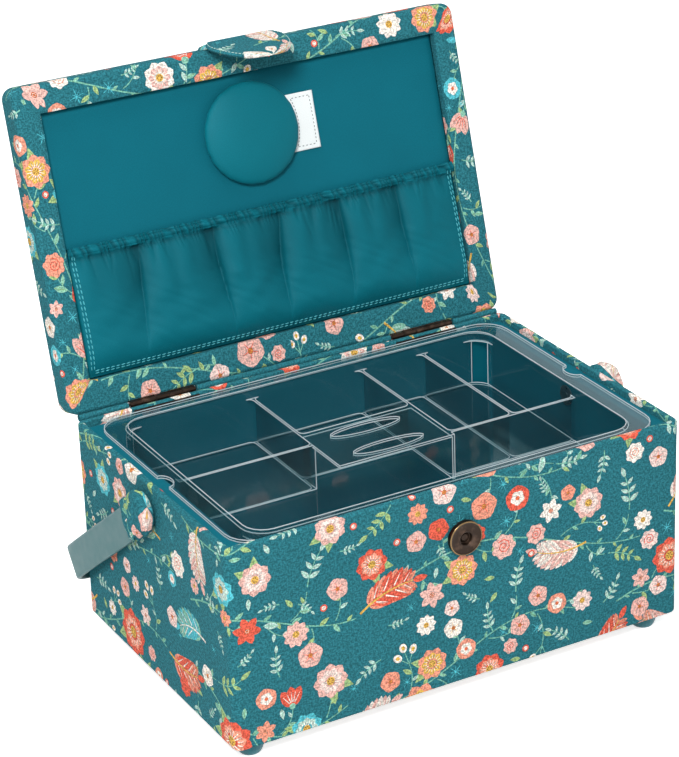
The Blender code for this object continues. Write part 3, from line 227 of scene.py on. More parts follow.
def cloth_material(finish: ClothFinish) -> bpy.types.Material:
    """Woven cloth from its own UV, in metres: plain-weave relief, uneven yarns, broad blotches, painted shade and
    highlight on the weave, and a soft sheen.

    Each yarn is a rounded ridge, half a sine wave wide, that dips under its neighbours where the two sines differ in
    sign. The uneven yarns are noise drawn out about twice along each yarn direction.

    Args:
        finish: the cloth's finish.

    Returns:
        The new material.
    """
    n = Nodes(finish.name)
    uv = n.add("UVMap", uv_map="UVMap")
    turns = n.add("VectorMath", {0: uv, 1: (math.pi / finish.yarn,) * 3}, operation="MULTIPLY")
    split = n.add("SeparateXYZ", {0: turns})
    warp = n.add("Math", {0: split.outputs[0]}, operation="SINE")
    weft = n.add("Math", {0: split.outputs[1]}, operation="SINE")
    crossing = n.add("Math", {0: warp, 1: weft}, operation="MULTIPLY")
    over = n.add("Math", {0: crossing, 1: 0.0}, operation="GREATER_THAN")
    warp_ridge = n.add("Math", {0: warp}, operation="ABSOLUTE")
    weft_ridge = n.add("Math", {0: weft}, operation="ABSOLUTE")
    height = n.add("Mix", {0: over, 2: warp_ridge, 3: weft_ridge})
    along = n.add("Mapping", {"Vector": uv, "Scale": (1 / finish.yarn, 0.45 / finish.yarn, 1.0)})
    across = n.add("Mapping", {"Vector": uv, "Scale": (0.45 / finish.yarn, 1 / finish.yarn, 1.0)})
    slub = n.add("TexNoise", {"Vector": along, "Scale": 0.9, "Detail": 1.0})
    slub_across = n.add("TexNoise", {"Vector": across, "Scale": 0.9, "Detail": 1.0})
    slubs = n.add("Math", {0: slub, 1: slub_across}, operation="ADD")
    speckle = n.add(
        "MapRange",
        {
            "Value": slubs,
            "From Min": 0.83,
            "From Max": 1.17,
            "To Min": 1 - finish.speckle,
            "To Max": 1 + finish.speckle,
        },
    )
    blotch = n.add("TexNoise", {"Vector": uv, "Scale": 28.0, "Detail": 3.0})
    broad = n.add("MapRange", {"Value": blotch, "From Min": 0.3, "From Max": 0.7, "To Min": 0.965, "To Max": 1.035})
    tone = n.add("Math", {0: speckle, 1: broad}, operation="MULTIPLY")
    # Painted shade and highlight on the weave: darker where a yarn dips under its neighbour, lighter on its crown.
    weave_painted_shade = n.add("MapRange", {"Value": height, "To Min": 0.90, "To Max": 1.05})
    yarn_tone_and_weave_shade = n.add("Math", {0: tone, 1: weave_painted_shade}, operation="MULTIPLY")
    # The per-face attribute holds the print on printed cloth, and the pocket colour times its painted shade on the
    # pocket.
    base = n.add("VertexColor", layer_name="print") if finish.printed else linear(finish.colour)
    colour = n.add("HueSaturation", {"Value": yarn_tone_and_weave_shade, "Color": base})
    bump = n.add("Bump", {"Strength": finish.relief, "Distance": finish.yarn * 0.35, "Height": height})
    shader = n.add(
        "BsdfPrincipled",
        {
            "Base Color": colour,
            "Roughness": finish.roughness,
            "Sheen Weight": finish.sheen,
            "Sheen Roughness": 0.45,
            "Sheen Tint": (0.35, 0.8, 0.85, 1.0),
            "Specular IOR Level": finish.gloss,
            "Normal": bump,
        },
    )
    n.add("OutputMaterial", {"Surface": shader})
    return n.material


def solid_material(finish: SolidFinish) -> bpy.types.Material:
    """Moulded plastic, metal or board with fine grain and blotches that are worn lighter, from Object coordinates.

    Args:
        finish: the surface's finish.

    Returns:
        The new material.
    """
    n = Nodes(finish.name)
    where = n.add("TexCoord").outputs["Object"]
    fine = n.add("TexNoise", {"Vector": where, "Scale": 2600.0, "Detail": 3.0})
    broad = n.add("TexNoise", {"Vector": where, "Scale": 160.0, "Detail": 4.0})
    worn = n.add("MapRange", {"Value": broad, "From Min": 0.52, "From Max": 0.72})
    dark = linear(finish.colour)
    light = tuple(min(1.0, c * (1 + 2.2 * finish.wear)) for c in dark[:3]) + (1.0,)
    colour = n.add("Mix", {0: worn, 6: dark, 7: light}, data_type="RGBA")
    roughness = n.add(
        "MapRange",
        {
            "Value": broad,
            "From Min": 0.3,
            "From Max": 0.7,
            "To Min": finish.roughness - 0.05,
            "To Max": finish.roughness + 0.06,
        },
    )
    bump = n.add("Bump", {"Strength": finish.grain, "Distance": 0.05 * MM, "Height": fine})
    shader = n.add(
        "BsdfPrincipled",
        {
            "Base Color": colour.outputs[2],
            "Roughness": roughness,
            "Metallic": finish.metallic,
            "Coat Weight": finish.coat,
            "Specular IOR Level": 0.35,
            "Normal": bump,
        },
    )
    n.add("OutputMaterial", {"Surface": shader})
    return n.material


def clear_plastic_material(name: str, frost: float) -> bpy.types.Material:
    """Clear moulded polystyrene as thin walls: tinted see-through, a mirror that grows at grazing view, and frost,
    which on the rods along the tray's edges is a painted highlight.

    Args:
        name: the material's name.
        frost: share of light that the surface scatters, low on walls and high on the edge rods, where the pale scatter
            is a painted highlight.

    Returns:
        The new material.
    """
    n = Nodes(name)
    where = n.add("TexCoord").outputs["Object"]
    ripple = n.add("TexNoise", {"Vector": where, "Scale": 45.0, "Detail": 2.0})
    bump = n.add("Bump", {"Strength": 0.10, "Distance": 0.4 * MM, "Height": ripple})
    uneven = n.add("MapRange", {"Value": ripple, "To Min": frost * 0.75, "To Max": frost * 1.25})
    through = n.add("BsdfTransparent", {"Color": (0.84, 0.925, 0.935, 1.0)})
    mirror = n.add("BsdfGlossy", {"Color": (0.52, 0.58, 0.60, 1.0), "Roughness": 0.06, "Normal": bump})
    inside = n.add("NewGeometry").outputs["Backfacing"]
    ratio = n.add("MapRange", {"Value": inside, "To Min": 1.6, "To Max": 1 / 1.6})
    fresnel = n.add("Fresnel", {"IOR": ratio, "Normal": bump})
    clear = n.add("MixShader", {0: fresnel, 1: through, 2: mirror})
    # Pale scatter: a faint frost on walls, and a painted highlight on the edge rods.
    cloudy = n.add("BsdfPrincipled", {"Base Color": linear(Palette.FROST_AND_EDGE_HIGHLIGHT), "Roughness": 0.25})
    mixed = n.add("MixShader", {0: uneven, 1: clear, 2: cloudy})
    n.add("OutputMaterial", {"Surface": mixed})
    return n.material


def backdrop_material() -> bpy.types.Material:
    """Pale paper that shows white to the camera, to reflections and through clear plastic, away from shadows.

    Returns:
        The new material.
    """
    n = Nodes("studio_paper")
    path = n.add("LightPath")
    seen = n.add("Math", {0: path.outputs["Is Camera Ray"], 1: path.outputs["Is Glossy Ray"]}, operation="MAXIMUM")
    seen = n.add("Math", {0: seen, 1: path.outputs["Is Transmission Ray"]}, operation="MAXIMUM")
    paper = n.add("BsdfDiffuse", {"Color": linear(Palette.FLOOR)})
    glow = n.add("Emission", {"Color": (1.0, 1.0, 1.0, 1.0), "Strength": 0.75})
    plain = n.add("BsdfDiffuse", {"Color": (0.8, 0.8, 0.8, 1.0)})
    bright = n.add("AddShader", {0: paper, 1: glow})
    mixed = n.add("MixShader", {0: seen, 1: plain, 2: bright})
    n.add("OutputMaterial", {"Surface": mixed})
    return n.material


CLOTHS = {
    # Coarse canvas: the speckle of uneven yarns is what the eye takes for cloth at this distance.
    "canvas": ClothFinish("printed_canvas", Palette.GROUND, 0.66 * MM, 0.6, 0.85, 0.02, 0.34, 0.1, printed=True),
    # Fine lining cotton: plain and even.
    "lining": ClothFinish("cotton_lining", Palette.LINING, 0.34 * MM, 0.25, 0.72, 0.03, 0.07),
    # The pocket's faces carry its colour times a painted shade of folds, creases and pleats.
    "pocket": ClothFinish("cotton_pocket", Palette.POCKET, 0.34 * MM, 0.25, 0.6, 0.02, 0.06, 0.12, printed=True),
    "cushion": ClothFinish("stretched_cushion_cotton", Palette.CUSHION, 0.34 * MM, 0.2, 0.6, 0.03, 0.05, 0.15),
    # Threads and tape: lighter than the cloth, so that the rows of stitches read.
    "stitch": ClothFinish("stitch_thread", Palette.STITCH, 0.2 * MM, 0.3, 0.6, 0.1, 0.05),
    "white_stitch": ClothFinish("pale_stitch_thread", Palette.PALE_LEAF, 0.2 * MM, 0.3, 0.6, 0.1, 0.05),
    "label": ClothFinish("woven_label_tape", Palette.LABEL, 0.25 * MM, 0.3, 0.7, 0.1, 0.03),
    "thread": ClothFinish("grey_sewing_thread", Palette.THREAD, 0.2 * MM, 0.3, 0.6, 0.1, 0.05),
}
SOLIDS = {
    # Handle and feet: satin mouldings with a broad highlight.
    "handle": SolidFinish("satin_handle_plastic", Palette.HANDLE, 0.45, grain=0.12, coat=0.05),
    "foot": SolidFinish("moulded_foot_plastic", Palette.FOOT, 0.35, grain=0.05),
    # Antique brass: near black, with broad blotches worn to bronze at random.
    "brass": SolidFinish("antique_brass", Palette.BRASS, 0.32, metallic=0.75, grain=0.15, wear=1.2),
    # Lighter brass on the snap's turned rim: wear, and a painted highlight where the rim catches light.
    "worn_brass": SolidFinish("worn_brass_edge", Palette.WORN_AND_HIGHLIGHT_BRASS, 0.30, metallic=0.9, grain=0.1, wear=0.4),
    "steel": SolidFinish("zinc_plated_steel", Palette.STEEL, 0.3, metallic=1.0, grain=0.1, wear=0.1),
    "board": SolidFinish("grey_board", Palette.BOARD, 0.85, grain=0.5, wear=0.1),
}
# The edge finish is mostly pale scatter: a painted highlight on the rods along the tray's sharp edges.
FROSTS = {"clear": ("clear_polystyrene", 0.006), "clear_edge": ("clear_polystyrene_edge", 0.75)}


class Materials:
    """Makes each material once, when it is first asked for."""

    def __init__(self) -> None:
        """Starts with nothing made."""
        self.made: dict[str, bpy.types.Material] = {}

    def get(self, name: str) -> bpy.types.Material:
        """Returns the material of a finish by its short name.

        Args:
            name: the finish's short name.

        Returns:
            The material.
        """
        if name not in self.made:
            if name in CLOTHS:
                self.made[name] = cloth_material(CLOTHS[name])
            elif name in SOLIDS:
                self.made[name] = solid_material(SOLIDS[name])
            elif name in FROSTS:
                self.made[name] = clear_plastic_material(*FROSTS[name])
            else:
                self.made[name] = backdrop_material()
        return self.made[name]


MATERIALS = Materials()


def opened(points: Array) -> Array:
    """Turns points laid out with the lid shut about the lid's hinge, to where the lid stands at rest.

    Args:
        points: array whose last axis holds x, y, z, with y measured from the body's middle.

    Returns:
        The turned points, in the frame's own coordinates.
    """
    joint = hinge_joint("lid_hinge")
    pivot_y = joint["pos_m"][1]
    pivot_z = joint["pos_m"][2]
    angle = -math.radians(max(joint["range_deg"]))
    y = points[..., 1] + SIZES.shift_y - pivot_y
    z = points[..., 2] - pivot_z
    turned = points.copy()
    turned[..., 1] = pivot_y + y * math.cos(angle) - z * math.sin(angle)
    turned[..., 2] = pivot_z + y * math.sin(angle) + z * math.cos(angle)
    return turned


def standing(points: Array) -> Array:
    """Moves points measured from the body's middle into the frame's coordinates.

    Args:
        points: array whose last axis holds x, y, z.

    Returns:
        The moved points.
    """
    moved = points.copy()
    moved[..., 1] += SIZES.shift_y
    return moved


def new_object(name: str, mesh: bpy.types.Mesh, material: str, body: str) -> bpy.types.Object:
    """Links a mesh as an object that rides on a body and takes a material slot's name.

    Args:
        name: the object's name.
        mesh: the mesh.
        material: short name of the finish.
        body: the body that it rides on.

    Returns:
        The object.
    """
    item = bpy.data.objects.new(name, mesh)
    bpy.context.scene.collection.objects.link(item)
    mesh.materials.append(MATERIALS.get(material))
    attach(item, body)
    return item


@dataclass
class Soup:
    """Triangles of printed cloth: points, faces, flat UV in metres, a tint to each face, a normal to each point."""

    points: Array
    faces: Array
    uv: Array
    tints: Array
    normals: Array
    flip: bool = False


def grid_faces(rows: int, columns: int) -> Array:
    """Quads of a grid of points that is stored row by row.

    Args:
        rows: rows of points.
        columns: columns of points.

    Returns:
        Rows of four point numbers.
    """
    corner = (np.arange(rows - 1)[:, None] * columns + np.arange(columns - 1)[None, :]).ravel()
    return np.stack([corner, corner + 1, corner + columns + 1, corner + columns], -1)


def mesh_of(
    name: str, points: Array, faces: Array, uv: Array | None = None, colours: Array | None = None, smooth=True
) -> bpy.types.Mesh:
    """Builds a mesh from arrays.

    Args:
        name: the mesh's name.
        points: vertices, one row each.
        faces: rows of vertex numbers, all of one length.
        uv: UV of each vertex, in metres.
        colours: linear RGBA of each face.
        smooth: whether faces are shaded smooth.

    Returns:
        The mesh.
    """
    mesh = bpy.data.meshes.new(name)
    mesh.from_pydata(points.reshape(-1, 3).tolist(), [], faces.tolist())
    corner_vertex = np.empty(len(mesh.loops), np.int32)
    mesh.loops.foreach_get("vertex_index", corner_vertex)
    if uv is not None:
        layer = mesh.uv_layers.new(name="UVMap")
        layer.data.foreach_set("uv", uv.reshape(-1, 2)[corner_vertex].ravel().astype(np.float32))
    if colours is not None:
        layer = mesh.color_attributes.new("print", "FLOAT_COLOR", "CORNER")
        sides = faces.shape[1]
        layer.data.foreach_set("color", np.repeat(colours, sides, axis=0).ravel().astype(np.float32))
    if smooth:
        mesh.shade_smooth()
    return mesh


@dataclass
class Motif:
    """One printed shape: a convex outline on the flat cloth, its colour and its place in the stack of inks."""

    outline: Array
    colour: Palette
    layer: int
    shade: float = 1.0


class Ink(IntEnum):
    """Order in which the inks lie on each other."""

    STEM = 0
    LEAF = 1
    VEIN = 2
    BACK = 3
    PETAL = 4
    MARK = 5
    HEART = 6
    DOT = 7


def ellipse(cx: float, cy: float, rx: float, ry: float, turn: float = 0.0, steps: int = 14) -> Array:
    """Points of a turned ellipse.

    Args:
        cx: place of its middle across the cloth.
        cy: place of its middle up the cloth.
        rx: half of its length.
        ry: half of its width.
        turn: its direction, in radians.
        steps: how many points or spans it has.

    Returns:
        The points, one row each.
    """
    a = np.linspace(0, 2 * math.pi, steps, endpoint=False)
    x = rx * np.cos(a)
    y = ry * np.sin(a)
    c, s = math.cos(turn), math.sin(turn)
    return np.stack([cx + x * c - y * s, cy + x * s + y * c], -1)


def blade(x: float, y: float, turn: float, length: float, width: float, point: float = 1.0) -> Array:
    """A petal or leaf from its foot outwards: widest past the middle, and pointed more as point falls below one.

    Args:
        x: place across the flat cloth, in metres.
        y: place up the flat cloth, in metres.
        turn: its direction, in radians.
        length: its length, in metres.
        width: its width, in metres.
        point: below one for a pointed tip.

    Returns:
        The points, one row each.
    """
    t = np.linspace(0.0, 1.0, 8)
    half = width / 2 * np.sin(np.pi * t**0.85) ** (1.0 if point < 1 else 0.62)
    along = t * length
    upper = np.stack([along, half], -1)
    lower = np.stack([along, -half], -1)[-2:0:-1]
    ring = np.concatenate([upper, lower])
    c, s = math.cos(turn), math.sin(turn)
    return np.stack([x + ring[:, 0] * c - ring[:, 1] * s, y + ring[:, 0] * s + ring[:, 1] * c], -1)


def stroke(path: Array, width: float, taper: float = 1.0) -> list[Array]:
    """Quads that follow a path, narrowing to taper times the width at its end.

    Args:
        path: points of the line, one row each.
        width: its width, in metres.
        taper: width at the end, as a share of the width at the start.

    Returns:
        The quads.
    """
    step = np.gradient(path, axis=0)
    step /= np.maximum(np.linalg.norm(step, axis=1, keepdims=True), 1e-12)
    side = np.stack([-step[:, 1], step[:, 0]], -1)
    half = (width / 2 * np.linspace(1.0, taper, len(path)))[:, None]
    left = path + side * half
    right = path - side * half
    return [np.stack([right[i], right[i + 1], left[i + 1], left[i]]) for i in range(len(path) - 1)]


@dataclass
class Print:
    """A scrolling floral in the cloth's own flat coordinates, in metres, laid out by rule from a seed.

    Wavy vines run along the cloth. Shoots leave them on both sides and end in flowers, buds, sprays or berries, and
    loose flowers, leaves and starbursts fill what is left.
    """

    width: float
    height: float
    seed: int = 11
    motifs: list[Motif] = field(default_factory=list)
    discs: list[tuple[float, float, float]] = field(default_factory=list)

    def __post_init__(self) -> None:
        """Lays out the motifs and cuts them into triangles."""
        self.dice = random.Random(self.seed)
        self.vines()
        self.fill()
        fans = [
            np.stack([m.outline[[0] * (len(m.outline) - 2)], m.outline[1:-1], m.outline[2:]], 1) for m in self.motifs
        ]
        self.triangles = np.concatenate(fans)
        self.owners = np.repeat(np.arange(len(fans)), [len(fan) for fan in fans])
        low = np.array([m.outline.min(0) for m in self.motifs])
        high = np.array([m.outline.max(0) for m in self.motifs])
        self.boxes = (low, high)
        base = np.array([linear(m.colour) for m in self.motifs])
        shade = np.array([[m.shade] * 3 + [1.0] for m in self.motifs])
        self.tints = np.minimum(base * shade, 1.0)
        spread = np.arange(len(self.motifs)) % 10
        self.heights = np.array([m.layer for m in self.motifs]) * 0.012 * MM + spread * 0.001 * MM
        LOG.info("print: %d shapes", len(self.motifs))

    def ink(self, outline: Array, colour: Palette, layer: Ink, shade: float = 1.0) -> None:
        """Adds one shape.

        Args:
            outline: convex outline on the flat cloth.
            colour: its ink.
            layer: its place in the stack of inks.
            shade: factor on the ink's lightness.
        """
        self.motifs.append(Motif(outline, colour, int(layer), shade))

    def free(self, x: float, y: float, radius: float) -> bool:
        """Whether a disc is clear of all that is placed.

        Args:
            x: place across the flat cloth, in metres.
            y: place up the flat cloth, in metres.
            radius: its radius, in metres.

        Returns:
            Whether nothing that is placed reaches into the disc.
        """
        return all((x - a) ** 2 + (y - b) ** 2 > (radius + r) ** 2 for a, b, r in self.discs)

    def line(self, path: Array, width: float, colour: Palette = Palette.STEM, taper: float = 0.7) -> None:
        """Draws a stem along a path.

        Args:
            path: points of the line, one row each.
            width: its width, in metres.
            colour: its ink.
            taper: width at the end, as a share of the width at the start.
        """
        for quad in stroke(path, width, taper):
            self.ink(quad, colour, Ink.STEM)

    def leaf(self, x: float, y: float, turn: float, length: float, colour: Palette) -> None:
        """A pointed leaf with a midrib and side veins.

        Args:
            x: place across the flat cloth, in metres.
            y: place up the flat cloth, in metres.
            turn: its direction, in radians.
            length: its length, in metres.
            colour: its ink.
        """
        self.ink(blade(x, y, turn, length, length * 0.42, 0.5), colour, Ink.LEAF)
        vein = Palette.LEAF_DARK if colour is not Palette.PALE_LEAF else Palette.MINT
        tip = np.array([[x, y], [x + math.cos(turn) * length * 0.86, y + math.sin(turn) * length * 0.86]])
        for quad in stroke(tip, length * 0.045):
            self.ink(quad, vein, Ink.VEIN)
        if length > 7 * MM:
            for share in (0.3, 0.5, 0.68):
                foot = tip[0] + (tip[1] - tip[0]) * share
                for sign in (-1, 1):
                    a = turn + sign * 0.75
                    end = foot + np.array([math.cos(a), math.sin(a)]) * length * 0.17
                    for quad in stroke(np.array([foot, end]), length * 0.028):
                        self.ink(quad, vein, Ink.VEIN)

    def spray(self, x: float, y: float, turn: float, length: float, colour: Palette) -> None:
        """A curved twig with pairs of leaves and one at its tip.

        Args:
            x: place across the flat cloth, in metres.
            y: place up the flat cloth, in metres.
            turn: its direction, in radians.
            length: its length, in metres.
            colour: its ink.
        """
        bend = self.dice.choice((-1, 1)) * 0.5
        t = np.linspace(0, 1, 9)
        a = turn + bend * t
        path = np.stack([x + np.cumsum(np.cos(a)) * length / 9, y + np.cumsum(np.sin(a)) * length / 9], -1)
        self.line(path, 0.7 * MM)
        for i in range(2, 8, 2):
            for sign in (-1, 1):
                size = length * (0.34 - 0.02 * i)
                self.leaf(path[i, 0], path[i, 1], a[i] + sign * 0.95, size, colour)
        self.leaf(path[-1, 0], path[-1, 1], a[-1], length * 0.3, colour)

    def petals(
        self, x: float, y: float, radius: float, count: int, colour: Palette, layer: Ink, turn: float, fat: float
    ) -> None:
        """A ring of petals of even shape with a slight change of tint from one to the next.

        Args:
            x: place across the flat cloth, in metres.
            y: place up the flat cloth, in metres.
            radius: its radius, in metres.
            count: how many there are.
            colour: its ink.
            layer: its place in the stack of inks.
            turn: its direction, in radians.
            fat: width of a petal, as a share of its room.
        """
        for k in range(count):
            a = turn + 2 * math.pi * k / count
            width = 2 * radius * math.sin(math.pi / count) * fat
            shade = 1.0 + 0.05 * ((k % 3) - 1)
            foot = radius * 0.08
            shape = blade(x + math.cos(a) * foot, y + math.sin(a) * foot, a, radius * 0.96, width)
            self.ink(shape, colour, layer, shade)

    def streaks(self, x: float, y: float, radius: float, count: int, colour: Palette, turn: float) -> None:
        """Fine lines from the heart out, one up each petal.

        Args:
            x: place across the flat cloth, in metres.
            y: place up the flat cloth, in metres.
            radius: its radius, in metres.
            count: how many there are.
            colour: its ink.
            turn: its direction, in radians.
        """
        for k in range(count):
            a = turn + 2 * math.pi * k / count
            ends = [[x + math.cos(a) * radius * f, y + math.sin(a) * radius * f] for f in (0.2, 0.62)]
            for quad in stroke(np.array(ends), radius * 0.07, 0.4):
                self.ink(quad, colour, Ink.MARK)

    def heart(self, x: float, y: float, radius: float, colour: Palette, dot: Palette) -> None:
        """A flower's middle with a ring of stamens.

        Args:
            x: place across the flat cloth, in metres.
            y: place up the flat cloth, in metres.
            radius: its radius, in metres.
            colour: its ink.
            dot: ink of the dots.
        """
        self.ink(ellipse(x, y, radius, radius, 0, 12), colour, Ink.HEART)
        for k in range(6):
            a = k * math.pi / 3
            spot = radius * 0.55
            self.ink(
                ellipse(x + math.cos(a) * spot, y + math.sin(a) * spot, radius * 0.17, radius * 0.17, 0, 6),
                dot,
                Ink.DOT,
            )

    def flower(self, x: float, y: float, radius: float) -> None:
        """One of several generic flowers, picked by the dice.

        Args:
            x: place across the flat cloth, in metres.
            y: place up the flat cloth, in metres.
            radius: its radius, in metres.
        """
        turn = self.dice.uniform(0, 2 * math.pi)
        kind = self.dice.choice(("five", "five", "daisy", "star", "cup", "rosette"))
        pale = self.dice.choice(
            (
                Palette.BLUSH,
                Palette.PALE_PINK,
                Palette.CREAM,
                Palette.PEACH,
                Palette.CORAL,
                Palette.BLUSH,
                Palette.CREAM,
            )
        )
        if kind == "five":
            self.petals(x, y, radius, 5, pale, Ink.PETAL, turn, 1.05)
            mark = Palette.CORAL if pale is not Palette.CREAM else Palette.MUSTARD
            self.streaks(x, y, radius, 5, mark, turn)
            self.heart(x, y, radius * 0.2, Palette.RUST, Palette.MUSTARD)
        elif kind == "daisy":
            self.petals(x, y, radius, 9, pale, Ink.PETAL, turn, 0.95)
            self.heart(x, y, radius * 0.27, Palette.MUSTARD, Palette.BROWN)
        elif kind == "star":
            self.petals(x, y, radius, 6, pale, Ink.PETAL, turn, 0.62)
            self.heart(x, y, radius * 0.2, Palette.RUST, Palette.CREAM)
        elif kind == "cup":
            bright = self.dice.choice((Palette.CORAL, Palette.AQUA, Palette.PEACH))
            self.petals(x, y, radius, 5, bright, Ink.BACK, turn, 1.2)
            self.petals(x, y, radius * 0.6, 5, Palette.CREAM, Ink.PETAL, turn + 0.6, 0.9)
            self.heart(x, y, radius * 0.18, Palette.CORAL, Palette.MUSTARD)
        else:
            self.ink(ellipse(x, y, radius * 0.9, radius * 0.86, turn, 16), pale, Ink.PETAL)
            for k in range(7):
                a = turn + 2 * math.pi * k / 7
                self.ink(
                    ellipse(x + math.cos(a) * radius * 0.68, y + math.sin(a) * radius * 0.68, radius * 0.34,
                            radius * 0.3, a, 10),
                    pale,
                    Ink.PETAL,
                    1.0 + 0.04 * (k % 2),
                )
            t = np.linspace(0, 1, 16)
            a = turn + t * 4.2 * math.pi
            spiral = np.stack([x + np.cos(a) * radius * 0.6 * t, y + np.sin(a) * radius * 0.6 * t], -1)
            for quad in stroke(spiral, radius * 0.09):
                self.ink(quad, Palette.CORAL if pale is not Palette.CREAM else Palette.PEACH, Ink.MARK)

    def bloom(self, x: float, y: float, radius: float) -> None:
        """A large layered flower with a striped inner ring.

        Args:
            x: place across the flat cloth, in metres.
            y: place up the flat cloth, in metres.
            radius: its radius, in metres.
        """
        turn = self.dice.uniform(0, 2 * math.pi)
        outer, middle = self.dice.choice(
            (
                (Palette.CORAL, Palette.PEACH),
                (Palette.AQUA, Palette.PALE_LEAF),
                (Palette.BLUSH, Palette.PALE_PINK),
                (Palette.CREAM, Palette.BLUSH),
                (Palette.PEACH, Palette.MUSTARD),
            )
        )
        for sign in (-1, 1):
            self.leaf(x, y, turn + sign * 0.5 + 2.2, radius * 1.5, Palette.LEAF)
        self.petals(x, y, radius, 8, outer, Ink.BACK, turn, 1.1)
        self.petals(x, y, radius * 0.72, 8, middle, Ink.PETAL, turn + math.pi / 8, 1.0)
        self.streaks(x, y, radius * 0.95, 16, Palette.CREAM, turn)
        self.ink(ellipse(x, y, radius * 0.36, radius * 0.36, 0, 16), outer, Ink.MARK, 0.85)
        self.heart(x, y, radius * 0.25, Palette.MUSTARD, Palette.BROWN)

    def plume(self, x: float, y: float, turn: float, size: float) -> None:
        """A large curled leaf in bright inks: striped side leaflets along a bent rib, longest in the middle.

        Args:
            x: place across the flat cloth, in metres.
            y: place up the flat cloth, in metres.
            turn: its direction, in radians.
            size: its overall length, in metres.
        """
        warm = ((Palette.CORAL, Palette.PEACH), (Palette.PEACH, Palette.BLUSH), (Palette.AQUA, Palette.MINT),
                (Palette.BLUSH, Palette.CREAM), (Palette.PALE_LEAF, Palette.MINT))
        outer, inner = self.dice.choice(warm)
        bend = self.dice.choice((-1, 1)) * self.dice.uniform(0.5, 0.9)
        t = np.linspace(0, 1, 12)
        a = turn + bend * t
        path = np.stack([x + np.cumsum(np.cos(a)) * size / 13, y + np.cumsum(np.sin(a)) * size / 13], -1)
        for k in range(2, 11):
            reach = size * 0.34 * math.sin(math.pi * (0.15 + 0.8 * k / 12))
            for side in (-1, 1):
                lean = a[k] + side * 0.78
                tint = outer if k % 2 else inner
                self.ink(blade(path[k, 0], path[k, 1], lean, reach, reach * 0.4), tint, Ink.BACK, 1.0 - 0.02 * k)
                ends = [[path[k, 0] + math.cos(lean) * reach * f, path[k, 1] + math.sin(lean) * reach * f]
                        for f in (0.15, 0.75)]
                for quad in stroke(np.array(ends), reach * 0.07, 0.3):
                    self.ink(quad, Palette.CREAM if k % 2 else outer, Ink.PETAL)
        self.ink(blade(path[-1, 0], path[-1, 1], a[-1], size * 0.22, size * 0.10), outer, Ink.BACK)
        for quad in stroke(path, size * 0.035, 0.3):
            self.ink(quad, Palette.MUSTARD if outer is not Palette.AQUA else Palette.CREAM, Ink.PETAL)

    def tulip(self, x: float, y: float, turn: float, size: float) -> None:
        """A flower seen from the side: three petals in a cup, with stripes.

        Args:
            x: place across the flat cloth, in metres.
            y: place up the flat cloth, in metres.
            turn: its direction, in radians.
            size: its overall length, in metres.
        """
        colour = self.dice.choice((Palette.CORAL, Palette.BLUSH, Palette.PEACH, Palette.CORAL))
        for spread, layer in ((-0.5, Ink.BACK), (0.5, Ink.BACK), (0.0, Ink.PETAL)):
            self.ink(blade(x, y, turn + spread, size, size * 0.55), colour, layer, 1.0 - 0.1 * abs(spread))
        stripe = Palette.CREAM if colour is Palette.CORAL else Palette.CORAL
        for spread in (-0.62, -0.3, 0.0, 0.3, 0.62):
            ends = [[x + math.cos(turn + spread) * size * f, y + math.sin(turn + spread) * size * f]
                    for f in (0.22, 0.72)]
            for quad in stroke(np.array(ends), size * 0.05, 0.4):
                self.ink(quad, stripe, Ink.MARK)
        self.ink(ellipse(x, y, size * 0.16, size * 0.16, 0, 8), Palette.MINT, Ink.MARK)

    def berries(self, x: float, y: float, turn: float, size: float) -> None:
        """Three round buds on short stalks.

        Args:
            x: place across the flat cloth, in metres.
            y: place up the flat cloth, in metres.
            turn: its direction, in radians.
            size: its overall length, in metres.
        """
        for spread, reach in ((-0.6, 0.8), (0.0, 1.0), (0.6, 0.78)):
            a = turn + spread
            ex, ey = x + math.cos(a) * size * reach, y + math.sin(a) * size * reach
            self.line(np.array([[x, y], [ex, ey]]), 0.55 * MM)
            self.ink(ellipse(ex, ey, size * 0.26, size * 0.2, a, 12), Palette.CREAM, Ink.PETAL)
            self.ink(ellipse(ex, ey, size * 0.13, size * 0.1, a, 8), Palette.MUSTARD, Ink.MARK)

    def starburst(self, x: float, y: float, size: float) -> None:
        """Eight fine rays in pale aqua.

        Args:
            x: place across the flat cloth, in metres.
            y: place up the flat cloth, in metres.
            size: its overall length, in metres.
        """
        turn = self.dice.uniform(0, 1)
        for k in range(8):
            a = turn + k * math.pi / 4
            reach = size * (1.0 if k % 2 == 0 else 0.68)
            ends = [[x, y], [x + math.cos(a) * reach, y + math.sin(a) * reach]]
            for quad in stroke(np.array(ends), size * 0.1, 0.5):
                self.ink(quad, Palette.AQUA, Ink.MARK)

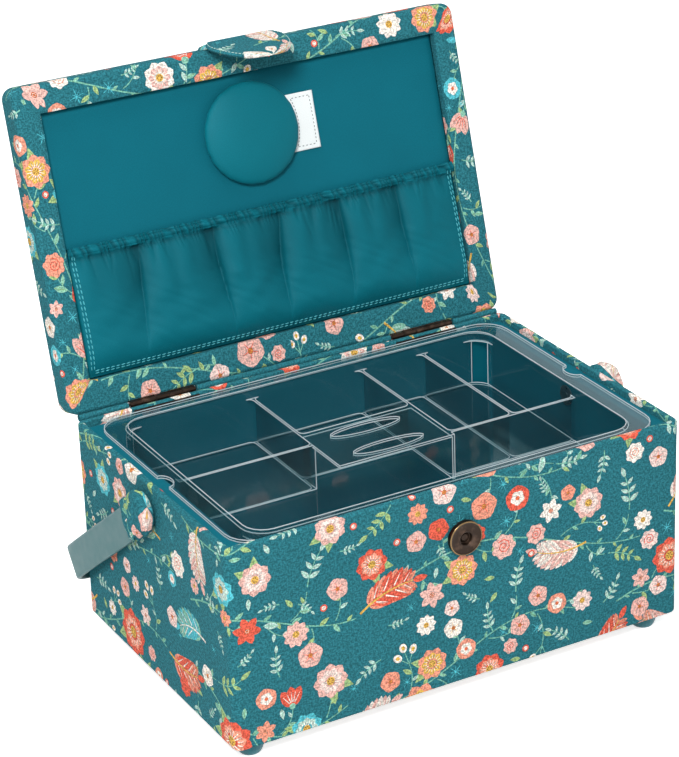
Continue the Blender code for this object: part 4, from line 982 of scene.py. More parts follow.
    def shoot(self, x: float, y: float, turn: float, reach: float) -> None:
        """A curved side stem that ends in a flower, bud, spray or berries where there is room.

        Args:
            x: place across the flat cloth, in metres.
            y: place up the flat cloth, in metres.
            turn: its direction, in radians.
            reach: length of the stem, in metres.
        """
        bend = self.dice.choice((-1, 1)) * self.dice.uniform(0.5, 1.3)
        t = np.linspace(0, 1, 9)
        a = turn + bend * t
        path = np.stack([x + np.cumsum(np.cos(a)) * reach / 9, y + np.cumsum(np.sin(a)) * reach / 9], -1)
        ex, ey = path[-1]
        kind = self.dice.choice(("flower", "flower", "flower", "tulip", "spray", "spray", "berries", "bloom"))
        room = {"flower": 6.6, "tulip": 7.4, "spray": 10.0, "berries": 6.6, "bloom": 10.5}[kind] * MM
        room *= self.dice.uniform(0.8, 1.25)
        ahead = 0.0 if kind in ("flower", "bloom") else room
        cx, cy = ex + math.cos(a[-1]) * ahead, ey + math.sin(a[-1]) * ahead
        if not self.free(cx, cy, room * 1.02):
            return
        self.discs.append((cx, cy, room))
        self.line(path, 0.65 * MM)
        for k, side in ((3, -1), (5, 1)):
            tint = self.dice.choice((Palette.LEAF, Palette.MINT, Palette.PALE_LEAF))
            self.leaf(path[k, 0], path[k, 1], a[k] + side * 0.9, self.dice.uniform(4.0, 6.5) * MM, tint)
        if kind == "flower":
            self.flower(ex, ey, room)
        elif kind == "bloom":
            self.bloom(ex, ey, room)
        elif kind == "tulip":
            self.tulip(ex, ey, a[-1], room * 1.7)
        elif kind == "spray":
            self.spray(ex, ey, a[-1], room * 1.9, self.dice.choice((Palette.LEAF, Palette.PALE_LEAF)))
        else:
            self.berries(ex, ey, a[-1], room * 1.3)

    def vines(self) -> None:
        """Wavy main stems in rows along the cloth, each broken into lengths with a bloom near its end."""
        row_pitch = 50 * MM
        rows = int(self.height / row_pitch) + 1
        for row in range(rows):
            base = row_pitch * (row + 0.45)
            start = -self.dice.uniform(0, 60) * MM
            while start < self.width:
                length = self.dice.uniform(105, 150) * MM
                phase = self.dice.uniform(0, 2 * math.pi)
                swing = self.dice.uniform(9, 14) * MM
                t = np.linspace(0, 1, 44)
                x = start + length * t
                y = base + swing * np.sin(phase + 1.5 * math.pi * t)
                path = np.stack([x, y], -1)
                self.line(path, 0.95 * MM, taper=0.6)
                slope = np.arctan2(np.gradient(y), np.gradient(x))
                for k in range(3, 41, 5):
                    side = 1 if (k // 5) % 2 else -1
                    turn = slope[k] + side * self.dice.uniform(0.6, 1.1)
                    self.shoot(x[k], y[k], turn, self.dice.uniform(12, 24) * MM)
                for k in range(2, 42, 3):
                    side = 1 if k % 2 else -1
                    tint = self.dice.choice((Palette.LEAF, Palette.MINT, Palette.STEM))
                    self.leaf(x[k], y[k], slope[k] + side * 0.8, self.dice.uniform(3.5, 6.5) * MM, tint)
                if self.free(x[-1], y[-1], 15 * MM):
                    self.discs.append((x[-1], y[-1], 16 * MM))
                    self.plume(x[-1], y[-1], slope[-1] + self.dice.uniform(-0.7, 0.7), 38 * MM)
                start += length + self.dice.uniform(10, 24) * MM

    def fill(self) -> None:
        """Loose flowers, leaves and starbursts wherever a disc still fits, from large to small."""
        tries = int(self.width * self.height / (MM * MM) / 26)
        for radius, kinds in ((16.0, ("plume",)), (9.0, ("bloom", "spray")), (6.0, ("flower", "spray", "flower")),
                              (4.6, ("flower", "leaf", "star")), (3.3, ("star", "bud", "leaf"))):
            r = radius * MM
            for _ in range(tries):
                x = self.dice.uniform(0, self.width)
                y = self.dice.uniform(0, self.height)
                if not self.free(x, y, r * 1.18):
                    continue
                self.discs.append((x, y, r))
                turn = self.dice.uniform(0, 2 * math.pi)
                kind = self.dice.choice(kinds)
                if kind == "bloom":
                    self.bloom(x, y, r * 0.95)
                elif kind == "plume":
                    self.plume(x - math.cos(turn) * r, y - math.sin(turn) * r, turn, r * 2.2)
                elif kind == "flower":
                    self.flower(x, y, r * 0.95)
                elif kind == "spray":
                    self.spray(x - math.cos(turn) * r, y - math.sin(turn) * r, turn, r * 1.7, Palette.PALE_LEAF)
                elif kind == "leaf":
                    tint = self.dice.choice((Palette.LEAF, Palette.PALE_LEAF, Palette.MINT))
                    self.leaf(x - math.cos(turn) * r, y - math.sin(turn) * r, turn, r * 1.9, tint)
                elif kind == "star":
                    self.starburst(x, y, r * 0.9)
                else:
                    self.ink(ellipse(x, y, r * 0.6, r * 0.6, 0, 12), Palette.CORAL, Ink.PETAL)
                    self.heart(x, y, r * 0.35, Palette.CREAM, Palette.RUST)


def split_at_lines(triangles: Array, owners: Array, axis: int, lines: Array) -> tuple[Array, Array, Array]:
    """Cuts triangles on every grid line across an axis that they cross, all of them at once, one line per pass.

    Args:
        triangles: flat triangles, indexed by triangle, corner and axis.
        owners: the number of the printed shape that each triangle belongs to.
        axis: 0 for lines across u, 1 for lines across v.
        lines: rising places of the grid lines.

    Returns:
        The pieces, their owners and the cell that each lies in, where cells outside the lines are left out.
    """
    done, done_owner, done_cell = [], [], []
    while len(triangles):
        place = triangles[:, :, axis]
        low_cell = np.searchsorted(lines, place.min(1) + 1e-9, "right") - 1
        high_cell = np.searchsorted(lines, place.max(1) - 1e-9, "left") - 1
        whole = high_cell <= low_cell
        inside = whole & (low_cell >= 0) & (low_cell < len(lines) - 1)
        done.append(triangles[inside])
        done_owner.append(owners[inside])
        done_cell.append(low_cell[inside])
        triangles, owners, low_cell = triangles[~whole], owners[~whole], low_cell[~whole]
        if not len(triangles):
            break
        order = np.argsort(triangles[:, :, axis], axis=1)
        a, b, c = np.moveaxis(np.take_along_axis(triangles, order[:, :, None], 1), 1, 0)
        line = lines[low_cell + 1][:, None]
        across = (line - a[:, axis : axis + 1]) / (c - a)[:, axis : axis + 1]
        p = a + (c - a) * across
        middle_low = b[:, axis] <= line[:, 0]
        start = np.where(middle_low[:, None], b, a)
        end = np.where(middle_low[:, None], c, b)
        run = (end - start)[:, axis : axis + 1]
        q = start + (end - start) * (line - start[:, axis : axis + 1]) / np.where(np.abs(run) < 1e-12, 1.0, run)
        low_far = np.where(middle_low[:, None], b, a)
        high_near = np.where(middle_low[:, None], c, b)
        pieces = [np.stack(x, 1) for x in ((a, low_far, q), (a, q, p), (p, q, high_near), (p, high_near, c))]
        triangles = np.concatenate(pieces)
        owners = np.tile(owners, 4)
        side = np.diff(triangles, axis=1)
        area = np.abs(side[:, 0, 0] * side[:, 1, 1] - side[:, 0, 1] * side[:, 1, 0])
        keep = area > 1e-13
        triangles, owners = triangles[keep], owners[keep]
    return np.concatenate(done), np.concatenate(done_owner), np.concatenate(done_cell)


@dataclass
class ClothSurface:
    """A grid of points that carries printed cloth.

    Attributes:
        u: the cloth's coordinate along the columns.
        v: the cloth's coordinate along the rows.
        points: the grid, indexed by row, then column.
        wrap: whether the last column meets the first.
        flip: whether the outside is the other side of the grid.
    """

    u: Array
    v: Array
    points: Array
    wrap: bool = False
    flip: bool = False

    def normals(self) -> Array:
        """Outward unit normals at the grid's points: the cross product of the steps along and up the grid.

        Returns:
            The normals, indexed as the grid is.
        """
        if self.wrap:
            padded = np.concatenate([self.points[:, -2:-1], self.points, self.points[:, 1:2]], axis=1)
            along = padded[:, 2:] - padded[:, :-2]
        else:
            along = np.gradient(self.points, axis=1)
        normal = np.cross(along, np.gradient(self.points, axis=0))
        if self.flip:
            normal = -normal
        return normal / np.maximum(np.linalg.norm(normal, axis=-1, keepdims=True), 1e-12)

    def ground(self) -> Soup:
        """The plain cloth itself, as triangles.

        Returns:
            The cloth's triangles.
        """
        rows, columns = self.points.shape[:2]
        quads = grid_faces(rows, columns)
        faces = np.concatenate([quads[:, [0, 1, 2]], quads[:, [0, 2, 3]]])
        uv = np.stack(np.broadcast_arrays(self.u[None, :], self.v[:, None]), -1).reshape(-1, 2)
        tint = np.tile(np.array(linear(Palette.GROUND)), (len(faces), 1))
        return Soup(self.points.reshape(-1, 3), faces, uv, tint, self.normals().reshape(-1, 3), self.flip)

    def inks(self, pattern: Print, offset: Point, lift: float = 0.03 * MM) -> Soup:
        """The printed shapes that fall on this cloth, laid on it ink over ink.

        Args:
            pattern: the print.
            offset: where this piece was cut from the print, as its own zero in the print's coordinates.
            lift: height of the first ink over the cloth; each later ink lies a little higher.

        Returns:
            The inks as triangles with the print's colours.
        """
        low = np.array([self.u[0], self.v[0]]) + np.array(offset)
        high = np.array([self.u[-1], self.v[-1]]) + np.array(offset)
        box_low, box_high = pattern.boxes
        near = ((box_high >= low) & (box_low <= high)).all(1)
        chosen = near[pattern.owners]
        flat = pattern.triangles[chosen] - np.array(offset)
        flat, owner, column = split_at_lines(flat, pattern.owners[chosen], 0, self.u)
        flat, kept, row = split_at_lines(flat, np.arange(len(flat)), 1, self.v)
        owner, column = owner[kept], column[kept]
        side_a, side_b = flat[:, 1] - flat[:, 0], flat[:, 2] - flat[:, 0]
        turned = side_a[:, 0] * side_b[:, 1] - side_a[:, 1] * side_b[:, 0] < 0
        flat[turned] = flat[turned][:, ::-1]
        a = ((flat[:, :, 0] - self.u[column][:, None]) / np.diff(self.u)[column][:, None])[..., None]
        b = ((flat[:, :, 1] - self.v[row][:, None]) / np.diff(self.v)[row][:, None])[..., None]
        laid = []
        for grid in (self.points, self.normals()):
            corners = [grid[row + i, column + j][:, None] for i, j in ((0, 0), (0, 1), (1, 0), (1, 1))]
            lower = corners[0] * (1 - a) + corners[1] * a
            upper = corners[2] * (1 - a) + corners[3] * a
            laid.append(lower * (1 - b) + upper * b)
        place, normal = laid
        normal /= np.maximum(np.linalg.norm(normal, axis=-1, keepdims=True), 1e-12)
        place = place + normal * (lift + pattern.heights[owner])[:, None, None]
        faces = np.arange(len(flat) * 3).reshape(-1, 3)
        return Soup(
            place.reshape(-1, 3), faces, flat.reshape(-1, 2), pattern.tints[owner], normal.reshape(-1, 3), self.flip
        )


def printed_mesh(name: str, soups: Sequence[Soup]) -> bpy.types.Mesh:
    """One mesh of cloth and inks, with UV in metres, ink colours and the cloth's own normals.

    Args:
        name: the name of the new item.
        soups: the pieces, each as triangles.

    Returns:
        The mesh.
    """
    starts = np.cumsum([0] + [len(s.points) for s in soups])
    faces = np.concatenate([(s.faces[:, ::-1] if s.flip else s.faces) + k for s, k in zip(soups, starts)])
    mesh = mesh_of(
        name,
        np.concatenate([s.points for s in soups]),
        faces,
        np.concatenate([s.uv for s in soups]),
        np.concatenate([s.tints for s in soups]),
    )
    mesh.normals_split_custom_set_from_vertices(np.concatenate([s.normals for s in soups]).tolist())
    LOG.info("%s: %d triangles", name, len(faces))
    return mesh


def printed_object(
    name: str, surfaces: Sequence[tuple[ClothSurface, Point]], pattern: Print, body: str
) -> bpy.types.Object:
    """Makes one object of pieces of printed cloth.

    Args:
        name: the object's name.
        surfaces: each piece of cloth, with where it was cut from the print.
        pattern: the print.
        body: the body that the cloth rides on.

    Returns:
        The object.
    """
    soups = [soup for surface, offset in surfaces for soup in (surface.ground(), surface.inks(pattern, offset))]
    return new_object(name, printed_mesh(name, soups), "canvas", body)


@dataclass(frozen=True)
class RoundedLoop:
    """Outline of a rectangle with round corners seen from above, from the middle of its back, anticlockwise."""

    half_x: float
    low_y: float
    high_y: float
    radius: float

    def stations(self, flat_step: float, arc_steps: int) -> tuple[Array, Array, Array]:
        """Points round the outline.

        Args:
            flat_step: about how far apart points lie on the straight sides.
            arc_steps: spans in each corner.

        Returns:
            Distance along the outline, points and outward normals.
        """
        r = self.radius
        runs = [
            ("line", (0.0, self.high_y), (-(self.half_x - r), self.high_y), (0.0, 1.0)),
            ("arc", (-(self.half_x - r), self.high_y - r), math.pi / 2, None),
            ("line", (-self.half_x, self.high_y - r), (-self.half_x, self.low_y + r), (-1.0, 0.0)),
            ("arc", (-(self.half_x - r), self.low_y + r), math.pi, None),
            ("line", (-(self.half_x - r), self.low_y), (self.half_x - r, self.low_y), (0.0, -1.0)),
            ("arc", (self.half_x - r, self.low_y + r), 1.5 * math.pi, None),
            ("line", (self.half_x, self.low_y + r), (self.half_x, self.high_y - r), (1.0, 0.0)),
            ("arc", (self.half_x - r, self.high_y - r), 0.0, None),
            ("line", (self.half_x - r, self.high_y), (0.0, self.high_y), (0.0, 1.0)),
        ]
        points, normals = [], []
        for kind, first, second, normal in runs:
            if kind == "line":
                length = math.dist(first, second)
                count = max(2, int(round(length / flat_step)))
                for share in np.linspace(0, 1, count + 1)[:-1]:
                    points.append(tuple(start + (end - start) * share for start, end in zip(first, second)))
                    normals.append(normal)
            else:
                for share in np.linspace(0, 1, arc_steps + 1)[:-1]:
                    a = second + share * math.pi / 2
                    normals.append((math.cos(a), math.sin(a)))
                    points.append((first[0] + r * math.cos(a), first[1] + r * math.sin(a)))
        points.append(points[0])
        normals.append(normals[0])
        place = np.array(points)
        step = np.linalg.norm(np.diff(place, axis=0), axis=1)
        return np.concatenate([[0.0], np.cumsum(step)]), place, np.array(normals)


def arc_section(centre: Point, radius: float, start: float, end: float, steps: int) -> list[Point]:
    """Points (inset, z) on an arc of a section; angles in degrees, zero outward, ninety up.

    Args:
        centre: middle of the arc, as inset and z.
        radius: its radius, in metres.
        start: first angle, in degrees.
        end: last angle, in degrees.
        steps: how many points or spans it has.

    Returns:
        The points.
    """
    found = []
    for share in np.linspace(0, 1, steps + 1):
        a = math.radians(start + (end - start) * share)
        found.append((centre[0] - radius * math.cos(a), centre[1] + radius * math.sin(a)))
    return found


def section_length(section: Sequence[Point]) -> Array:
    """Distance along a section.

    Args:
        section: points of the section.

    Returns:
        The distance at each point.
    """
    place = np.array(section)
    return np.concatenate([[0.0], np.cumsum(np.linalg.norm(np.diff(place, axis=0), axis=1))])


def cloth_wave(u: Array, v: Array, height: float, span: float) -> Array:
    """A slow, irregular swell of glued cloth over board.

    Args:
        u: place along the cloth.
        v: place across the cloth.
        height: height of the swell, in metres.
        span: about how long one swell is.

    Returns:
        The height at each place.
    """
    a = np.sin(2 * math.pi * u / span + 1.3 * np.sin(2 * math.pi * v / (span * 1.7)))
    b = np.sin(2 * math.pi * v / (span * 0.8) + 0.7 + 1.1 * np.sin(2 * math.pi * u / (span * 2.3)))
    return height * a * b


@dataclass
class BodyShell:
    """The printed cover of the body: the sides, the roll over the rim and the turn under the base."""

    pattern: Print
    roll: float = 1.1 * MM
    lip: float = 3.4 * MM
    foot_roll: float = 1.5 * MM
    swell: float = 0.12 * MM

    def build(self) -> None:
        """Builds the cover."""
        s = SIZES
        loop = RoundedLoop(s.half_width, -s.half_depth, s.half_depth, s.corner)
        distance, place, normal = loop.stations(14.0 * MM, 6)
        roll, lip, foot_roll = self.roll, self.lip, self.foot_roll
        section = [(3.6 * MM, s.base_z)]
        section += arc_section((foot_roll, s.base_z + foot_roll), foot_roll, -90, 0, 4)
        for share in np.linspace(0, 1, 9)[1:-1]:
            section.append((0.0, s.base_z + foot_roll + share * (s.rim_z - roll - s.base_z - foot_roll)))
        section += arc_section((roll, s.rim_z - roll), roll, 0, 90, 5)
        section += arc_section((lip - 0.6 * MM, s.rim_z - 0.6 * MM), 0.6 * MM, 90, 180, 3)
        section.append((lip, s.rim_z - 4.0 * MM))
        rise = section_length(section)
        inset = np.array([p[0] for p in section])[:, None]
        z = np.array([p[1] for p in section])[:, None]
        inward = place[None] - normal[None] * np.minimum(inset, s.corner - 0.3 * MM)[..., None]
        flatness = np.clip(np.minimum(rise, rise[-1] - 12 * MM - rise) / (20 * MM), 0, 1)[:, None]
        swell = (cloth_wave(distance[None], rise[:, None], self.swell, 70 * MM) - self.swell) * flatness
        inward += normal[None] * swell[..., None]
        points = np.concatenate([inward, np.broadcast_to(z, inward.shape[:2])[..., None]], -1)
        surface = ClothSurface(distance, rise, standing(points), wrap=True)
        cover = printed_object("body_cover_cloth", [(surface, (8 * MM, 6 * MM))], self.pattern, "box")
        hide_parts("body_cover")


@dataclass
class LidShell:
    """The printed, lightly padded cover of the lid: inner lip, rim, sides, crowned top and the fold at the hinge.

    Attributes:
        pattern: the print.
        fold_radius: radius of the cloth fold that fills the hinge line between the hinges.
        fold_y: the hinge axis from the body's middle.
        fold_z: the hinge axis above the floor.
        fold_runs: stretches along the hinge line that the hinges leave free.
    """

    pattern: Print
    fold_radius: float = 1.75 * MM
    fold_y: float = 86.9 * MM
    fold_z: float = 119.6 * MM
    fold_runs: tuple[Point, ...] = ((-127 * MM, -99 * MM), (-59 * MM, 59 * MM), (99 * MM, 127 * MM))

    def folds(self) -> list[tuple[ClothSurface, Point]]:
        """Half-round folds of cloth about the hinge axis, one to each free stretch.

        Returns:
            Each fold, with where it was cut from the print.
        """
        turn = np.linspace(0, 2 * math.pi, 15)
        surfaces = []
        for start, end in self.fold_runs:
            x = np.linspace(start, end, max(4, int((end - start) / (6 * MM))))
            gx, ga = np.meshgrid(x, turn)
            y = self.fold_y + self.fold_radius * np.cos(ga)
            z = self.fold_z + self.fold_radius * np.sin(ga)
            surface = ClothSurface(x - start, turn * self.fold_radius, opened(np.stack([gx, y, z], -1)))
            surfaces.append((surface, (start + 300 * MM, 200 * MM)))
        return surfaces

    def ring(self) -> ClothSurface:
        """The cloth from the opening's wall, over the rim and up the sides to the top's edge.

        Returns:
            The surface, laid out shut.
        """
        s = SIZES
        loop = RoundedLoop(s.lid_half_width, s.lid_front, s.lid_back, s.lid_corner)
        distance, place, normal = loop.stations(12.0 * MM, 6)
        inner = np.stack(
            [
                np.clip(place[:, 0], -s.opening_half_width, s.opening_half_width),
                np.clip(place[:, 1], s.opening_front, s.opening_back),
            ],
            -1,
        )
        edge = 3.2 * MM
        top_edge = 4.6 * MM
        rows: list[Array] = []
        heights: list[float] = []
        for drop in (0.0, 2.0, 4.0):
            rows.append(inner)
            heights.append(s.panel_z + 0.2 * MM - drop * MM)
        outer_rim = place - normal * edge
        for share in np.linspace(0, 1, 7):
            puff = 0.35 * MM * math.sin(math.pi * share)
            rows.append(inner + (outer_rim - inner) * (share * 0.96 + 0.02))
            heights.append(s.lid_bottom + 0.35 * MM - puff)
        for inset, z in arc_section((edge, s.lid_bottom + edge), edge, -80, 0, 5):
            rows.append(place - normal * inset)
            heights.append(z)
        for share in np.linspace(0, 1, 5)[1:-1]:
            rows.append(place)
            heights.append(s.lid_bottom + edge + share * (s.lid_top - top_edge - s.lid_bottom - edge))
        for inset, z in arc_section((top_edge, s.lid_top - top_edge), top_edge, 0, 86, 6):
            rows.append(place - normal * inset)
            heights.append(z)
        plan = np.stack(rows)
        z = np.broadcast_to(np.array(heights)[:, None, None], plan.shape[:2] + (1,))
        points = np.concatenate([plan, z], -1)
        middle = len(distance) // 2
        rise = np.concatenate([[0.0], np.cumsum(np.linalg.norm(np.diff(points[:, middle], axis=0), axis=1))])
        return ClothSurface(distance, rise, points, wrap=True)

    def top(self) -> ClothSurface:
        """The crowned top inside its rounded edge: flat but for a rise that falls off by the fourth power.

        Returns:
            The surface, laid out shut.
        """
        s = SIZES
        inset = 4.2 * MM
        x = np.linspace(-s.lid_half_width + inset, s.lid_half_width - inset, 20)
        y = np.linspace(s.lid_front + inset, s.lid_back - inset, 14)
        gx, gy = np.meshgrid(x, y)
        centre = (s.lid_front + s.lid_back) / 2
        cap_x = s.lid_half_width - inset
        cap_y = (s.lid_back - s.lid_front) / 2 - inset
        crown = 1.2 * MM * (1 - (gx / cap_x) ** 4) * (1 - ((gy - centre) / cap_y) ** 4)
        gz = s.lid_top - 0.05 * MM + crown
        return ClothSurface(x + s.lid_half_width, y - s.lid_front, np.stack([gx, gy, gz], -1))

    def build(self) -> None:
        """Builds the cover and turns it to the open pose."""
        ring = self.ring()
        ring.points = opened(ring.points)
        top = self.top()
        top.points = opened(top.points)
        pieces = [(ring, (20 * MM, 158 * MM)), (top, (330 * MM, 222 * MM)), *self.folds()]
        cover = printed_object("lid_cover_cloth", pieces, self.pattern, "lid")
        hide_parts("lid_frame", "lid_top_board")


def plain_cloth(
    name: str,
    points: Array,
    u: Array,
    v: Array,
    material: str,
    body: str,
    flip: bool = False,
    tints: Array | None = None,
) -> bpy.types.Object:
    """A piece of plain cloth from a grid of points.

    Args:
        name: the object's name.
        points: the grid, indexed by row, then column.
        u: flat coordinate along the columns, in metres.
        v: flat coordinate along the rows, in metres.
        material: short name of its finish.
        body: the body it rides on.
        flip: whether the outside is the other side of the grid.
        tints: linear RGBA of each face, for a finish that reads them.

    Returns:
        The object.
    """
    rows, columns = points.shape[:2]
    faces = grid_faces(rows, columns)
    if flip:
        faces = faces[:, ::-1]
    uv = np.stack(np.broadcast_arrays(u[None, :], v[:, None]), -1)
    return new_object(name, mesh_of(name, points, faces, uv, tints), material, body)


@dataclass
class Linings:
    """Padded cloth on the body's inner walls and floor."""

    outer_x: float = 126.6 * MM
    inner_x: float = 117.4 * MM
    outer_front: float = -81.7 * MM
    inner_front: float = -76.7 * MM
    inner_back: float = 76.5 * MM
    outer_back: float = 80.7 * MM
    top_z: float = 116.4 * MM
    floor_z: float = 14.0 * MM
    edge: float = 1.4 * MM

    def build(self) -> None:
        """Builds the wall lining as one ring whose section rises outside, rolls over and falls inside, and the floor."""
        outer = RoundedLoop(self.outer_x, self.outer_front, self.outer_back, 2.0 * MM)
        distance, place, _ = outer.stations(5.0 * MM, 3)
        inner = np.stack(
            [
                np.clip(place[:, 0], -self.inner_x, self.inner_x),
                np.clip(place[:, 1], self.inner_front, self.inner_back),
            ],
            -1,
        )
        shares = [(0.0, -6.0), (0.0, -1.2), (0.03, -0.5), (0.12, -0.1), (0.3, 0.0), (0.5, 0.0), (0.7, 0.0)]
        shares += [(0.88, -0.1), (0.97, -0.5), (1.0, -1.2)]
        rows = [place + (inner - place) * share for share, _ in shares]
        heights = [self.top_z + drop * MM for _, drop in shares]
        for z in np.linspace(self.top_z - 6 * MM, self.floor_z, 14):
            rows.append(inner)
            heights.append(z)
        plan = np.stack(rows)
        z = np.broadcast_to(np.array(heights)[:, None, None], plan.shape[:2] + (1,))
        points = standing(np.concatenate([plan, z], -1))
        rise = np.concatenate([[0.0], np.cumsum(np.hypot(np.diff(heights), 0.9 * MM))])
        walls = plain_cloth("wall_lining_cloth", points, distance, rise, "lining", "box")
        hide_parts("lining_front", "lining_back", "lining_left", "lining_right")
        x = np.linspace(-self.inner_x, self.inner_x, 40)
        y = np.linspace(self.inner_front, self.inner_back, 28)
        gx, gy = np.meshgrid(x, y)
        gz = self.floor_z + cloth_wave(gx, gy, 0.15 * MM, 60 * MM)
        floor = plain_cloth(
            "floor_lining_cloth", standing(np.stack([gx, gy, gz], -1)), x, y, "lining", "box"
        )
        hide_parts("base_lining")


@dataclass
class Stitches:
    """Rows of sewing thread: each stitch is a short bead that dips into the cloth at both ends."""

    pitch: float = 2.9 * MM
    length: float = 2.2 * MM
    width: float = 0.68 * MM
    slant: float = 0.12 * MM

    def beads(self, path: Array, normals: Array) -> tuple[Array, Array]:
        """Stitches along a path.

        Args:
            path: points in space.
            normals: the cloth's normal at each point.

        Returns:
            Points and quads. Each bead is a grid of five stations by six points round a half-sunk ellipse.
        """
        step = np.linalg.norm(np.diff(path, axis=0), axis=1)
        run = np.concatenate([[0.0], np.cumsum(step)])
        count = max(1, int(run[-1] / self.pitch))
        starts = (np.arange(count) + 0.15) * (run[-1] / count)
        share = np.linspace(0, 1, 5)
        at = starts[:, None] + share[None] * self.length
        centre = np.stack([np.interp(at, run, path[:, k]) for k in range(3)], -1)
        normal = np.stack([np.interp(at, run, normals[:, k]) for k in range(3)], -1)
        along = np.gradient(centre, axis=1)
        along /= np.linalg.norm(along, axis=-1, keepdims=True)
        normal /= np.linalg.norm(normal, axis=-1, keepdims=True)
        side = np.cross(normal, along)
        swell = np.sqrt(np.clip(1 - (2 * share - 1) ** 2 * 0.94, 0, 1))[None, :, None]
        centre = centre + side * (self.slant * (2 * share - 1))[None, :, None] + normal * 0.08 * MM
        turn = np.linspace(0, 2 * math.pi, 6, endpoint=False)
        ring = (
            centre[:, :, None]
            + side[:, :, None] * (np.cos(turn) * self.width / 2)[None, None, :, None] * swell[..., None]
            + normal[:, :, None] * (np.sin(turn) * self.width * 0.42)[None, None, :, None] * swell[..., None]
        )
        quads = []
        for i in range(4):
            for j in range(6):
                k = (j + 1) % 6
                quads.append((i * 6 + j, i * 6 + k, (i + 1) * 6 + k, (i + 1) * 6 + j))
        faces = np.array(quads)[None] + (np.arange(count) * 30)[:, None, None]
        return ring.reshape(-1, 3), faces.reshape(-1, 4)

    def build(self, name: str, rows: Sequence[tuple[Array, Array]], body: str, slot: str, material: str = "stitch"):
        """One object of several rows of stitches.

        Args:
            name: the name of the new item.
            rows: each row of stitches, with its normals.
            body: the body that it rides on.
            slot: the material slot's name; not used.
            material: short name of the finish.
        """
        points, faces, total = [], [], 0
        for path, normals in rows:
            p, f = self.beads(path, normals)
            points.append(p)
            faces.append(f + total)
            total += len(p)
        place = np.concatenate(points)
        uv = place[:, [0, 2]]
        return new_object(name, mesh_of(name, place, np.concatenate(faces), uv), material, body)


